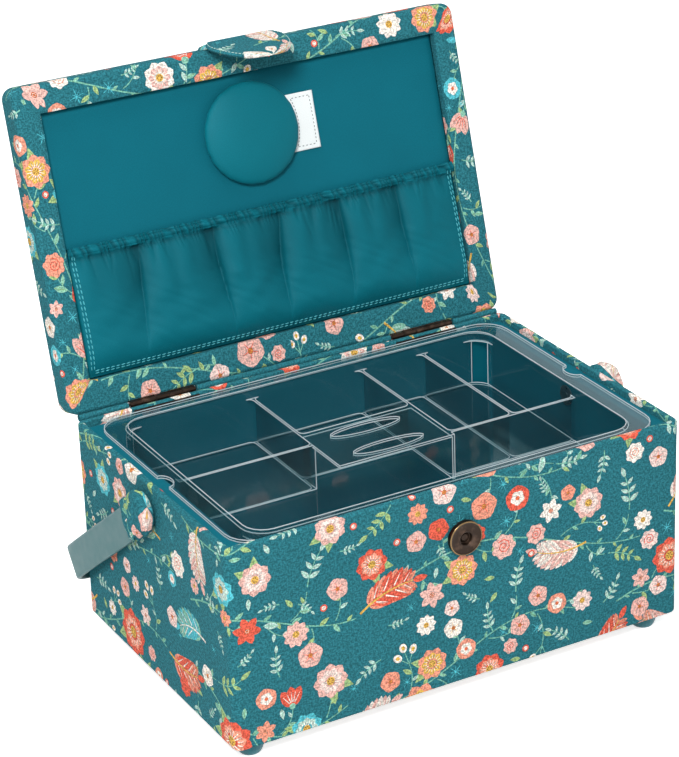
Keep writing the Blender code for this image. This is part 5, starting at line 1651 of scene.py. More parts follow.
@dataclass
class LidInterior:
    """The lining panel in the lid, the gathered pocket, the pincushion and the bare label."""

    panel_z: float = 124.8 * MM
    half_x: float = 116.6 * MM
    front_y: float = -70.8 * MM
    back_y: float = 69.3 * MM
    pocket_half_x: float = 115.9 * MM
    pocket_bottom_y: float = 68.8 * MM
    pocket_top_y: float = 0.4 * MM
    swell: float = 10.2 * MM
    pleats: int = 70
    cushion_x: float = -0.9 * MM
    cushion_y: float = -38.8 * MM
    cushion_radius: float = 27.4 * MM
    cushion_height: float = 10.6 * MM
    label_right: float = 39.2 * MM
    label_half: float = 15.5 * MM

    def panel(self) -> None:
        """The flat panel, rounded down at its edges, with a slow swell of cloth over board."""
        x = np.linspace(-self.half_x, self.half_x, 110)
        y = np.linspace(self.front_y, self.back_y, 70)
        gx, gy = np.meshgrid(x, y)
        edge = np.minimum(self.half_x - np.abs(gx), np.minimum(gy - self.front_y, self.back_y - gy))
        drop = 0.9 * MM * np.exp(-edge / (0.9 * MM))
        gz = self.panel_z + drop + cloth_wave(gx, gy, 0.12 * MM, 55 * MM)
        points = opened(np.stack([gx, gy, gz], -1))
        panel = plain_cloth("lid_panel_cloth", points, x, y, "lining", "lid", flip=True)
        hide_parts("lid_lining_panel")

    def billow(self, gu: Array, gv: Array) -> Array:
        """The pocket's deep folds, as a share of the swell from -1 in a valley to 0 on a ridge.

        Between two valleys the cloth follows s to the power 0.38 times (1 - s) to the power 0.95: a steep rise, a
        round ridge near it and a long fall, as cloth does that folds over itself. Folds are deepest under the gathers and
        fade towards the bottom seam.

        Args:
            gu: share across the pocket.
            gv: share up the pocket.

        Returns:
            The folds' depth at each place.
        """
        valleys = np.array([-0.03, 0.165, 0.372, 0.532, 0.686, 0.856, 1.03])
        depths = np.array([0.5, 1.0, 1.0, 1.05, 0.95, 0.9, 0.5])
        place = gu + 0.010 * np.sin(2.6 * gv + 14.0 * gu) + 0.012 * (1 - gv)
        cell = np.clip(np.searchsorted(valleys, place) - 1, 0, len(valleys) - 2)
        left, right = valleys[cell], valleys[cell + 1]
        share = np.clip((place - left) / (right - left), 0, 1)
        up = np.clip(gv / 0.93, 0, 1)
        ridge = share**0.38 * (1 - share) ** 0.95 / 0.545
        depth = depths[cell] * (1 - share) + depths[cell + 1] * share
        fade = np.clip((up - 0.04) / 0.60, 0, 1) ** 0.85
        folds = (1 - np.minimum(ridge, 1.0)) * depth * fade
        soft = 0.0
        small_folds = (
            (0.07, 0.022, 0.25, 0.5),
            (0.245, 0.020, 0.34, 0.35),
            (0.305, 0.014, 0.2, 0.6),
            (0.445, 0.018, 0.30, 0.45),
            (0.600, 0.018, 0.34, 0.4),
            (0.640, 0.012, 0.2, 0.6),
            (0.755, 0.018, 0.32, 0.4),
            (0.93, 0.016, 0.30, 0.4),
        )
        for centre, spread, amount, low in small_folds:
            shape = np.exp(-(((place - centre) / (spread * (1.5 - 0.6 * up))) ** 2))
            soft = soft + amount * shape * np.clip((up - low) / (1 - low), 0, 1) ** 0.8
        return -np.minimum(folds + soft * (1 - folds), 1.1)

    def pocket_grid(self) -> tuple[Array, Array, Array, Array]:
        """The pocket's cloth: how far it stands off the panel, over a grid of shares across and up.

        It swells out from the bottom and side seams, is pulled in along the deep folds, and is gathered on the elastic
        into small pleats that fade within a few millimetres below it.

        Returns:
            The grid laid out shut, its flat coordinate across, its flat coordinate up, and a painted shade factor at
            each point: darker in the folds and creases, lighter on the pleats' ridges.
        """
        u = np.linspace(0, 1, 620)
        v = np.concatenate([np.linspace(0, 0.93, 92), 0.93 + 0.07 * np.linspace(0, 1, 16)[1:]])
        gu, gv = np.meshgrid(u, v)
        width = 2 * self.pocket_half_x
        height = self.pocket_bottom_y - self.pocket_top_y
        side = np.clip(np.sin(math.pi * gu), 0, 1) ** 0.22
        low = np.clip(1 - gv / 0.24, 0, 1)
        high = np.clip((gv - 0.55) / 0.38, 0, 1)
        rise = (1 - low**2.0) * (1 - 0.60 * high**1.3)
        stand = self.swell * rise * side * (1 + 0.93 * self.billow(gu, gv))
        dice = random.Random(5)
        small = np.zeros_like(gu)
        for _ in range(46):
            centre = dice.uniform(0.02, 0.98)
            spread = dice.uniform(0.9, 2.2) * MM / width
            reach = dice.uniform(0.08, 0.34)
            lean = dice.uniform(-0.05, 0.05)
            fade = np.clip(1 - (0.93 - gv) / reach, 0, 1) ** 1.3
            small += dice.uniform(0.4, 1.0) * np.exp(-np.abs((gu - centre + lean * (0.93 - gv)) / spread) ** 1.5) * fade
        stand -= 1.7 * MM * np.minimum(small, 1.3) * side
        crumple = cloth_wave(gu * width + 3 * MM, gv * height, 0.35 * MM, 31 * MM)
        crumple += cloth_wave(gv * height + 9 * MM, gu * width + gv * height, 0.22 * MM, 17 * MM)
        stand += crumple * side * np.sin(math.pi * np.clip(gv / 0.93, 0, 1))
        phase = gu * self.pleats + 0.45 * np.sin(gu * 61.0) + 0.35 * np.sin(gu * 23.0 + 1.0)
        phase = phase + 0.3 * np.sin(gu * 139.0)
        lean = (gv - 0.96) * 7.0
        pleat = np.abs(np.sin(math.pi * (phase + lean))) ** 0.6
        uneven = 0.7 + 0.35 * np.sin(gu * 97.0 + 2.0) * np.sin(gu * 41.0)
        in_band = np.clip((gv - 0.912) / 0.018, 0, 1)
        tail = np.clip(1 - (0.912 - gv) / 0.09, 0, 1) ** 1.4 * (1 - in_band)
        stand += 1.5 * MM * (pleat - 0.6) * uneven * tail * side
        across_band = np.clip((gv - 0.915) / 0.085, 0, 1)
        tube = np.sqrt(np.clip(1 - (2 * across_band - 1) ** 2, 0, 1))
        band_stand = (2.1 + 1.4 * tube + 2.6 * (pleat - 0.65) * uneven) * MM
        stand = stand * (1 - in_band) + band_stand * in_band
        elastic = np.exp(-(((gv - 0.938) / 0.007) ** 2)) + np.exp(-(((gv - 0.978) / 0.007) ** 2))
        stand -= 0.45 * MM * elastic
        stand = np.clip(stand, 0.35 * MM, 10.4 * MM)
        ruffle = 1.5 * MM * (pleat - 0.5) * uneven * np.clip((gv - 0.975) / 0.025, 0, 1)
        slip = 0.55 * MM * np.sin(2 * math.pi * (phase + lean)) * in_band
        gx = -self.pocket_half_x + width * gu + slip * side
        sag = 0.7 * MM * np.sin(math.pi * gu) * np.clip(gv - 0.5, 0, 1)
        gy = self.pocket_bottom_y - height * gv - ruffle + sag
        gz = self.panel_z - 0.35 * MM - stand
        # Painted shade: darker in the deep folds, more so higher up, darker by the bottom seam and in the small
        # creases; across the band, painted highlight on the pleats' ridges and painted shade in their valleys; and a
        # painted shadow just under the band.
        shade = 1.10 - 0.52 * np.clip(-self.billow(gu, gv), 0, 1) ** 0.8 * (0.35 + 0.65 * np.clip(gv / 0.7, 0, 1))
        shade -= 0.16 * np.clip(1 - gv / 0.14, 0, 1) + 0.20 * np.clip(small, 0, 1) * side
        shade = shade * (1 - in_band) + (1.12 - 0.62 * (1 - pleat) ** 0.8) * in_band
        shade -= 0.22 * np.exp(-(((gv - 0.905) / 0.014) ** 2))
        return np.stack([gx, gy, gz], -1), u * width * 1.28, v * height, shade

    def pocket(self) -> None:
        """The pocket's cloth, the fold behind its top edge and the double rows of stitches round it."""
        points, u, v, shade = self.pocket_grid()
        # Painted shade: the fold behind the top edge is darkened to 0.8, and each face tints the pocket colour by the
        # mean painted shade of its corners.
        shade = np.concatenate([shade, np.full((5, shade.shape[1]), 0.8)])
        face_shade = (shade[1:, 1:] + shade[:-1, 1:] + shade[1:, :-1] + shade[:-1, :-1]).reshape(-1, 1) / 4
        tints = np.array([linear(Palette.POCKET)]) * np.maximum(face_shade, 0.3)
        top = points[-1]
        back_rows = []
        for share in np.linspace(0, 1, 6)[1:]:
            row = top.copy()
            row[:, 1] += 5.5 * MM * share
            row[:, 2] = top[:, 2] + 1.1 * MM * math.sin(min(1.0, share * 3) * math.pi / 2)
            row[:, 2] = np.minimum(row[:, 2], self.panel_z - 0.1 * MM)
            back_rows.append(row)
        full = np.concatenate([points, np.stack(back_rows)])
        rise = np.concatenate([v, v[-1] + 5.5 * MM * np.linspace(0, 1, 6)[1:]])
        cloth = plain_cloth(
            "pocket_gathered_cloth", opened(full), u, rise, "pocket", "lid", True, tints
        )
        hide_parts("pocket", "pocket_elastic")
        surface = ClothSurface(u, rise, opened(full), flip=True)
        normal = surface.normals()
        rows = []
        for row in (3, 5):
            rows.append((surface.points[row, 8:-8], normal[row, 8:-8]))
        for column in (5, 9):
            rows.append((surface.points[4:-16, column], normal[4:-16, column]))
            rows.append((surface.points[4:-16, -1 - column], normal[4:-16, -1 - column]))
        rows = [(self.near_panel(path), np.tile(self.panel_normal(), (len(path), 1))) for path, _ in rows]
        threads = Stitches().build("pocket_stitches", rows, "lid", "pocket_cloth")

    @staticmethod
    def cloth_area(points: Array) -> float:
        """Area of a grid of points.

        Args:
            points: array whose last axis holds x, y, z.

        Returns:
            The area, in square metres.
        """
        side = np.diff(points, axis=1)[:-1]
        up = np.diff(points, axis=0)[:, :-1]
        return float(np.linalg.norm(np.cross(side, up), axis=-1).sum())

    @staticmethod
    def panel_normal() -> Array:
        """Direction out of the panel, towards someone who looks into the open lid.

        Returns:
            The normal.
        """
        two = opened(np.array([[0.0, 0.0, 0.0], [0.0, 0.0, -1.0]]))
        return two[1] - two[0]

    @staticmethod
    def near_panel(path: Array) -> Array:
        """A path with its bumps smoothed out.

        Args:
            path: points of the line, one row each.

        Returns:
            The moved points.
        """
        window = np.ones(9) / 9
        padded = np.pad(path, ((4, 4), (0, 0)), mode="edge")
        return np.stack([np.convolve(padded[:, k], window, "valid") for k in range(3)], -1)

    def cushion(self) -> None:
        """The pincushion: a cloth-covered dome that rolls in under its widest ring, with faint pulls at its edge."""
        profile = [(0.910, 0.3), (0.952, 0.9), (0.983, 1.9), (1.0, 3.0), (0.998, 4.0), (0.976, 5.2)]
        for share in np.linspace(0, 1, 20)[1:]:
            r = 0.976 * (1 - share)
            profile.append((r, 5.2 + (self.cushion_height / MM - 5.2) * (1 - (r / 0.976) ** 2.3) ** 0.80))
        radius = np.array([p[0] for p in profile]) * self.cushion_radius
        height = np.array([p[1] for p in profile]) * MM
        turn = np.linspace(0, 2 * math.pi, 145)
        pull = 0.10 * MM * np.sin(26 * turn)[None] + 0.07 * MM * np.sin(17 * turn + 1)[None]
        pull = pull * np.exp(-(((height[:, None] - 3.4 * MM) / (2.2 * MM)) ** 2))
        r = radius[:, None] + pull
        gx = self.cushion_x + r * np.cos(turn)[None]
        gy = self.cushion_y + r * np.sin(turn)[None]
        gz = self.panel_z - np.broadcast_to(height[:, None], gx.shape)
        points = opened(np.stack([gx, gy, gz], -1))
        faces = grid_faces(*gx.shape)[:, ::-1]
        uv = np.stack([gx, gy], -1)
        mesh = mesh_of("pincushion_cloth", points, faces, uv)
        dome = new_object("pincushion_cloth", weld(mesh), "cushion", "lid")
        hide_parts("pincushion", "pincushion_base")

    def label(self) -> None:
        """A bare woven tape: its left edge is cut to the cushion's ring, and a dashed border runs round it."""
        across = np.linspace(0, 1, 24)
        up = np.linspace(-1, 1, 40)
        gs, gt = np.meshgrid(across, up)
        y = gt * self.label_half
        left = self.cushion_x + np.sqrt((self.cushion_radius - 0.8 * MM) ** 2 - y**2)
        gx = left + (self.label_right - left) * gs
        lift = 0.7 * MM + 0.5 * MM * gs**2 + 0.25 * MM * gt**2 * gs
        gz = self.panel_z - lift
        shape = np.stack([gx, self.cushion_y + y, gz], -1)
        label = plain_cloth("label_tape", opened(shape), across * 14 * MM, up * self.label_half, "label", "lid",
                            flip=True)
        solid = label.modifiers.new("thickness", "SOLIDIFY")
        solid.thickness = 0.35 * MM
        solid.offset = -1
        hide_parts("label_tab")
        normal = self.panel_normal()
        inset = 0.13
        path = [shape[3:-3, int(24 * (1 - inset))], shape[3, 5:-3][::-1], shape[-4, 5:-3]]
        path.append(shape[3:-3, 5])
        rows = [(opened(p), np.tile(normal, (len(p), 1))) for p in path]
        border = Stitches(pitch=1.9 * MM, length=1.15 * MM, width=0.42 * MM, slant=0.0)
        border.build("label_border_stitches", rows, "lid", "label_tape", "thread")

    def build(self) -> None:
        """Builds all that is inside the lid."""
        self.panel()
        self.pocket()
        self.cushion()
        self.label()


def weld(mesh: bpy.types.Mesh, reach: float = 1e-6) -> bpy.types.Mesh:
    """Merges a mesh's doubled points, as where a turned surface closes.

    Args:
        mesh: the mesh.
        reach: how far apart joined points may lie.

    Returns:
        The same mesh.
    """
    shape = bmesh.new()
    shape.from_mesh(mesh)
    bmesh.ops.remove_doubles(shape, verts=shape.verts, dist=reach)
    shape.to_mesh(mesh)
    shape.free()
    mesh.shade_smooth()
    return mesh


def turned_mesh(name: str, profile: Sequence[Point], steps: int) -> tuple[Array, Array]:
    """Turns a profile of (radius, height) about an axis.

    Args:
        name: name for the log.
        profile: points from the middle of one side round to the middle of the other.
        steps: divisions of the circle.

    Returns:
        Points with the axis along +Z, indexed by profile point and step, and the quads.
    """
    turn = np.linspace(0, 2 * math.pi, steps + 1)
    radius = np.array([p[0] for p in profile])[:, None]
    height = np.array([p[1] for p in profile])[:, None]
    points = np.stack([radius * np.cos(turn), radius * np.sin(turn), np.broadcast_to(height, (len(profile), steps + 1))], -1)
    LOG.debug("turned %s", name)
    return points, grid_faces(len(profile), steps + 1)


@dataclass
class Fittings:
    """Snap, hinges, handle, feet and other hard pieces."""

    snap_z: float = 90.4 * MM
    snap_back_y: float = -85.3 * MM
    highlight_rod_radius: float = 0.26 * MM
    sharp: float = math.radians(38)
    worn_and_highlight_bands: tuple[int, ...] = (4, 5)

    def snap_profile(self) -> list[Point]:
        """Half section of the socket: back, straight side, turned edge, flat face, round hole and hub inside it.

        Returns:
            The points, as radius and height.
        """
        mm_profile = [(8.8, 0.0), (9.2, 0.2), (9.25, 0.5), (9.25, 2.3), (9.15, 2.64), (8.9, 2.9), (8.6, 2.96)]
        mm_profile += [(8.3, 2.9), (8.1, 2.76), (7.9, 2.7), (5.2, 2.7), (4.5, 2.72), (4.2, 2.8), (3.9, 2.84)]
        mm_profile += [(3.6, 2.78), (3.42, 2.55), (3.4, 0.6), (3.3, 0.5), (2.2, 0.5), (2.1, 0.6), (2.05, 1.0)]
        mm_profile += [(1.9, 1.2), (1.5, 1.3), (0.8, 1.27), (0.0, 1.24)]
        return [(r * MM, h * MM) for r, h in mm_profile]

    def snap(self) -> None:
        """The magnetic snap's socket on the body's front."""
        points, faces = turned_mesh("snap", self.snap_profile(), 96)
        out = np.stack([points[..., 0], self.snap_back_y - points[..., 2], self.snap_z + points[..., 1]], -1)
        mesh = mesh_of("snap_socket_disc", standing(out), faces, out[..., [0, 2]])
        mesh.materials.clear()
        # The rim's turned edge takes the lighter brass: wear and a painted highlight.
        band = np.repeat(np.arange(len(points) - 1), points.shape[1] - 1)
        mesh.polygons.foreach_set("material_index", np.isin(band, self.worn_and_highlight_bands).astype(np.int32))
        disc = new_object("snap_socket_disc", weld(mesh), "brass", "box")
        mesh.materials.append(MATERIALS.get("worn_brass"))
        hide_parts("snap_socket")

    def dress_nodes(self) -> None:
        """Gives the construction's own pieces their finishes."""
        finishes = {
            "hinge_": "brass",
            "snap_stud": "brass",
            "foot_tack": "steel",
            "foot_": "foot",
            "pivot_rivet": "steel",
            "rivet_washer": "steel",
            "snap_washer": "steel",
            "snap_magnet": "steel",
            "body_carcass": "board",
            "base_board": "board",
        }
        for name, node in frame["nodes"].items():
            finish = next((value for key, value in finishes.items() if name.startswith(key)), None)
            if finish is None:
                continue
            node.data.materials.clear()
            node.data.materials.append(MATERIALS.get(finish))
            LOG.info("%s: %s", name, finish)

    def tray(self) -> None:
        """The clear tray as moulded, with a thin pale rod on every sharp edge as a painted highlight, standing in for
        the light that rounded edges catch.
        """
        node = frame["nodes"]["tray"]
        node.data.calc_loop_triangles()
        flat = np.empty(len(node.data.vertices) * 3, np.float32)
        node.data.vertices.foreach_get("co", flat)
        corners = np.empty(len(node.data.loop_triangles) * 3, np.int32)
        node.data.loop_triangles.foreach_get("vertices", corners)
        turn = np.array(node.matrix_world)
        points = flat.reshape(-1, 3) @ turn[:3, :3].T + turn[:3, 3]
        points, same = np.unique(np.round(points, 7), axis=0, return_inverse=True)
        faces = same.reshape(-1)[corners].reshape(-1, 3)
        # Pale rods on the sharp edges: painted highlight.
        beads, highlight_rod_faces = self.edge_highlight_rods(points, faces)
        quads = np.concatenate([faces, faces[:, :1]], 1)
        mesh = bpy.data.meshes.new("clear_tray")
        mesh.from_pydata(
            np.concatenate([points, beads]).tolist(), [], faces.tolist() + (highlight_rod_faces + len(points)).tolist()
        )
        mesh.shade_smooth()
        mesh.set_sharp_from_angle(angle=self.sharp)
        tray = new_object("clear_tray", mesh, "clear", "tray")
        mesh.materials.append(MATERIALS.get("clear_edge"))
        which = np.concatenate([np.zeros(len(quads), np.int32), np.ones(len(highlight_rod_faces), np.int32)])
        mesh.polygons.foreach_set("material_index", which)
        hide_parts("tray")

    def edge_highlight_rods(self, points: Array, faces: Array) -> tuple[Array, Array]:
        """Thin four-sided rods for the painted edge highlight, along the edges where two faces meet at more than the
        sharp angle.

        Args:
            points: the shape's points, each given once.
            faces: its triangles.

        Returns:
            The rods' points and quads.
        """
        side = points[faces]
        normal = np.cross(side[:, 1] - side[:, 0], side[:, 2] - side[:, 0])
        normal /= np.maximum(np.linalg.norm(normal, axis=1, keepdims=True), 1e-15)
        ends = np.sort(np.concatenate([faces[:, [0, 1]], faces[:, [1, 2]], faces[:, [2, 0]]]), axis=1)
        owner = np.tile(np.arange(len(faces)), 3)
        order = np.lexsort((ends[:, 1], ends[:, 0]))
        ends, owner = ends[order], owner[order]
        pair = np.flatnonzero((ends[1:] == ends[:-1]).all(1))
        bend = (normal[owner[pair]] * normal[owner[pair + 1]]).sum(1)
        chosen = pair[bend < math.cos(self.sharp)]
        a, b = points[ends[chosen, 0]], points[ends[chosen, 1]]
        first, second = normal[owner[chosen]], normal[owner[chosen + 1]]
        out = first + second
        out /= np.maximum(np.linalg.norm(out, axis=1, keepdims=True), 1e-9)
        along = (b - a) / np.maximum(np.linalg.norm(b - a, axis=1, keepdims=True), 1e-9)
        across = np.cross(along, out)
        ring = np.stack([out, across, -out, -across], 1) * self.highlight_rod_radius
        rods = np.stack([a[:, None] + ring, b[:, None] + ring], 1).reshape(-1, 3)
        quad = np.array([(k, (k + 1) % 4, 4 + (k + 1) % 4, 4 + k) for k in range(4)])
        return rods, (quad[None] + 8 * np.arange(len(chosen))[:, None, None]).reshape(-1, 4)

    def build(self) -> None:
        """Builds the fittings."""
        self.snap()
        self.tray()
        self.dress_nodes()


@dataclass
class Handle:
    """The plastic bail that hangs at the back of the box, and the printed sleeves on its pivots.

    Attributes:
        pivot_z: height of the pivots.
        drop: angle of the arms below level.
        arm_x: middle of the arm's thickness from the box's middle.
        reach: from the pivot to the middle of the crossbar.
        corner: radius of the corner at the arm's middle line.
        half_thick: half the band's thickness.
        half_wide: half the band's width.
        edge: radius of the band's long edges.
        flare: how far the arms bow outwards before the corner.
    """

    pivot_z: float = 104.2 * MM
    drop: float = math.radians(37.2)
    arm_x: float = 132.7 * MM
    reach: float = 119.0 * MM
    corner: float = 14.0 * MM
    half_thick: float = 1.5 * MM
    half_wide: float = 9.3 * MM
    edge: float = 1.4 * MM
    flare: float = 3.6 * MM

    def place(self, x: Array, along: Array, across: Array) -> Array:
        """Points from the handle's own axes: x, distance along the arms, and distance across their width.

        Args:
            x: places across the box.
            along: share or place along the piece.
            across: place across the piece.

        Returns:
            The points.
        """
        y = along * math.cos(self.drop) + across * math.sin(self.drop)
        z = self.pivot_z - along * math.sin(self.drop) + across * math.cos(self.drop)
        return standing(np.stack(np.broadcast_arrays(x, y, z), -1))

    def middle_line(self) -> tuple[Array, Array]:
        """The bail's middle line and its outward normals, as (x, along), from the left pivot round to the right.

        Returns:
            The line's places along and across.
        """
        arm = np.linspace(-5 * MM, self.reach - self.corner, 44)
        share = np.clip(arm / (self.reach - self.corner), 0, 1)
        bow = self.flare * (3 * share**2 - 2 * share**3)
        left = np.stack([-(self.arm_x + bow), arm], -1)
        corner_x = self.arm_x + self.flare - self.corner
        turn = np.linspace(0, math.pi / 2, 14)[1:]
        bend = np.stack([-(corner_x + self.corner * np.cos(turn)), self.reach - self.corner + self.corner * np.sin(turn)], -1)
        half = np.concatenate([left, bend, np.array([[-corner_x * 0.5, self.reach]])])
        line = np.concatenate([half, [[0.0, self.reach]], (half * [-1, 1])[::-1]])
        along = np.gradient(line, axis=0)
        along /= np.linalg.norm(along, axis=1, keepdims=True)
        return line, np.stack([-along[:, 1], along[:, 0]], -1)

    def bail(self) -> None:
        """Sweeps a flat section with rounded long edges along the middle line."""
        line, normal = self.middle_line()
        turn = np.linspace(0, math.pi / 2, 5)
        thick = self.half_thick - self.edge + self.edge * np.cos(turn)
        wide = self.half_wide - self.edge + self.edge * np.sin(turn)
        quarter = np.stack([thick, wide], -1)
        ring = [quarter, quarter[::-1] * [-1, 1], -quarter, quarter[::-1] * [1, -1], quarter[:1]]
        section = np.concatenate(ring)
        centre = line[:, None] + normal[:, None] * section[None, :, :1]
        points = self.place(centre[..., 0], centre[..., 1], np.broadcast_to(section[None, :, 1], centre.shape[:2]))
        count, sides = points.shape[:2]
        faces = grid_faces(count, sides)
        band = new_object("handle_band", mesh_of("handle_band", points, faces), "handle", "handle")
        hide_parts("handle_bail")

    def sleeve(self, name: str, side: int, outer: float, forward: float, pattern: Print) -> None:
        """A loose printed sleeve: a puffed cap round in front, open behind where the arm comes out, drawn into folds.

        Args:
            name: the piece's name.
            side: -1 for the left of the box and 1 for the right.
            outer: how far its outer face stands from the box's middle.
            forward: how much further forward than its neighbour it has slipped.
            pattern: the print.
        """
        share = 1 - np.linspace(1, 0, 34) ** 1.7
        turn = np.linspace(0, 2 * math.pi, 61)
        gs, gt = np.meshgrid(share, turn, indexing="ij")
        front, length = -12.4 * MM - forward, 28.6 * MM
        inner = 130.4 * MM
        rounding = np.clip(gs / 0.36, 0, 1)
        full = np.sqrt(np.clip(1 - (1 - rounding) ** 2, 0, 1))
        mouth = np.clip((gs - 0.86) / 0.14, 0, 1)
        half_wide = (10.4 * full - 0.5 * mouth) * MM
        half_thick = (outer - inner) / 2 * (full**0.8) * (1 - 0.30 * mouth)
        folds = 0.7 - 1.5 * np.exp(-np.abs(np.sin(1.5 * gt + 3.5 * gs + side)) * 5)
        folds += 0.5 - 1.1 * np.exp(-np.abs(np.sin(2.0 * gt - 5.0 * gs + 0.8)) * 6)
        folds += 0.4 * np.sin(11 * gt + 15 * gs)
        pull = 1 + (0.09 + 0.05 * mouth) * folds * full
        c, s = np.cos(gt), np.sin(gt)
        thick = np.sign(c) * np.abs(c) ** 0.8 * half_thick * np.where(c > 0, pull, 1.0)
        wide = np.sign(s) * np.abs(s) ** 0.75 * half_wide * pull
        x = side * ((outer + inner) / 2 + thick)
        along = front + length * gs
        points = self.place(x, along, wide)
        loop = turn / (2 * math.pi) * 50 * MM
        surface = ClothSurface(loop, share * length, points, wrap=True, flip=side > 0)
        piece = printed_object(name, [(surface, (206 * MM + side * 60 * MM, 100 * MM))], pattern, "handle")
        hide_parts("handle_sleeve_left" if side < 0 else "handle_sleeve_right")

    def build(self, pattern: Print) -> None:
        """Builds the bail and both sleeves.

        Args:
            pattern: the print that the cloth is cut from.
        """
        self.bail()
        self.sleeve("sleeve_cloth_left", -1, 139.2 * MM, 0.0, pattern)
        self.sleeve("sleeve_cloth_right", 1, 146.5 * MM, 3.0 * MM, pattern)


@dataclass
class ClosureFlap:
    """The flap that folds over the lid's front: two layers of printed canvas over a stiffener, edge stitched."""

    half_width: float = 22.8 * MM
    length: float = 39.4 * MM
    straight_share: float = 0.0
    thickness: float = 2.6 * MM
    bend_y: float = -89.1 * MM
    bend_z: float = 119.8 * MM
    droop: float = math.radians(13.6)
    root_top: float = 132.4 * MM
    lid_front: float = -86.2 * MM
    stud_drop: float = 29.4 * MM
    stud_radius: float = 9.9 * MM

    def outline_half(self, along: Array) -> Array:
        """Half width at a share along the flap: straight first, then a half ellipse.

        Args:
            along: share or place along the piece.

        Returns:
            The half width, in metres.
        """
        past = np.clip((along - self.straight_share) / (1 - self.straight_share), 0, 1)
        shoulder = 0.84 + 0.16 * np.clip(along / 0.22, 0, 1) ** 0.7
        return self.half_width * shoulder * np.sqrt(np.clip(1 - past**2.25, 0, 1))

    def grid(self, layer: float) -> tuple[Array, Array, Array]:
        """One face of the flap from its root on the lid's front, round the bend, to its end.

        Args:
            layer: height of this face off the flap's middle, in metres, towards the front.

        Returns:
            Its places across, its drop along the flap, its lift off the flap's middle and the shares along it, before
            they are turned and laid out.
        """
        share = np.concatenate([np.linspace(0, 0.8, 24), 1 - 0.2 * np.linspace(1, 0, 26)[1:] ** 2.0])
        across = np.linspace(-1, 1, 41)
        gs, ga = np.meshgrid(across, share)
        half = self.outline_half(ga)
        x = gs * half
        z_drop = ga * self.length
        edge = np.clip((1 - np.abs(gs)) * half / (1.6 * MM), 0, 1)
        end = np.clip((self.length - z_drop) / (1.6 * MM), 0, 1)
        plump = np.sqrt(np.clip(1 - (1 - np.minimum(edge, end)) ** 2, 0, 1))
        return x, z_drop, plump * layer, share

    def build(self, pattern: Print) -> None:
        """Builds the flap's two faces and its root, and turns them to where they hang at rest.

        Args:
            pattern: the print that the cloth is cut from.
        """
        x, drop, lift, share = self.grid(self.thickness / 2)
        off_stud = np.hypot(x, drop - self.stud_drop) - self.stud_radius
        dish = 0.27 + 0.73 * np.clip(off_stud / (2.0 * MM), 0, 1)
        across = np.linspace(-1, 1, 41)
        surfaces = []
        for sign in (1, -1):
            y = -sign * lift * (dish if sign < 0 else 1.0)
            z = -drop
            angle = self.droop
            turned_y = y * math.cos(angle) - z * math.sin(angle)
            turned_z = y * math.sin(angle) + z * math.cos(angle)
            shut = np.stack([x, self.bend_y + turned_y, self.bend_z + turned_z], -1)
            grid = opened(shut)
            surfaces.append(
                (ClothSurface(across * self.half_width, share * self.length, grid, flip=sign > 0), (262 * MM, 96 * MM))
            )
        flap = printed_object("closure_flap_cloth", surfaces, pattern, "flap")
        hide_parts("closure_flap")
        front = surfaces[0][0]
        normal = front.normals()
        path = np.concatenate([front.points[1:-2, 1], front.points[-3, 1:-1], front.points[1:-2, -2][::-1]])
        facing = np.concatenate([normal[1:-2, 1], normal[-3, 1:-1], normal[1:-2, -2][::-1]])
        stitches = Stitches(pitch=2.2 * MM, length=1.6 * MM, width=0.5 * MM, slant=0.0)
        stitches.build("flap_edge_stitches", [(path, facing)], "flap", "printed_canvas", "white_stitch")
        self.root(pattern)

    def root(self, pattern: Print) -> None:
        """The flap's fixed end: it lies on the lid's front, thinned to nothing at its sides and top.

        Args:
            pattern: the print that the cloth is cut from.
        """
        half = 0.84 * self.half_width
        x = np.linspace(-half, half, 40)
        z = np.linspace(self.bend_z + 0.3 * MM, self.root_top, 16)
        gx, gz = np.meshgrid(x, z)
        edge = np.minimum((half - np.abs(gx)) / (6.0 * MM), (self.root_top - gz) / (9.0 * MM))
        plump = np.sqrt(np.clip(1 - (1 - np.clip(edge, 0, 1)) ** 2, 0, 1))
        gy = self.lid_front - (0.2 + 2.6 * plump) * MM
        surface = ClothSurface(x + half, z - self.bend_z, opened(np.stack([gx, gy, gz], -1)))
        root = printed_object("flap_root_cloth", [(surface, (262 * MM, 58 * MM))], pattern, "lid")
        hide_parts("closure_flap_root")


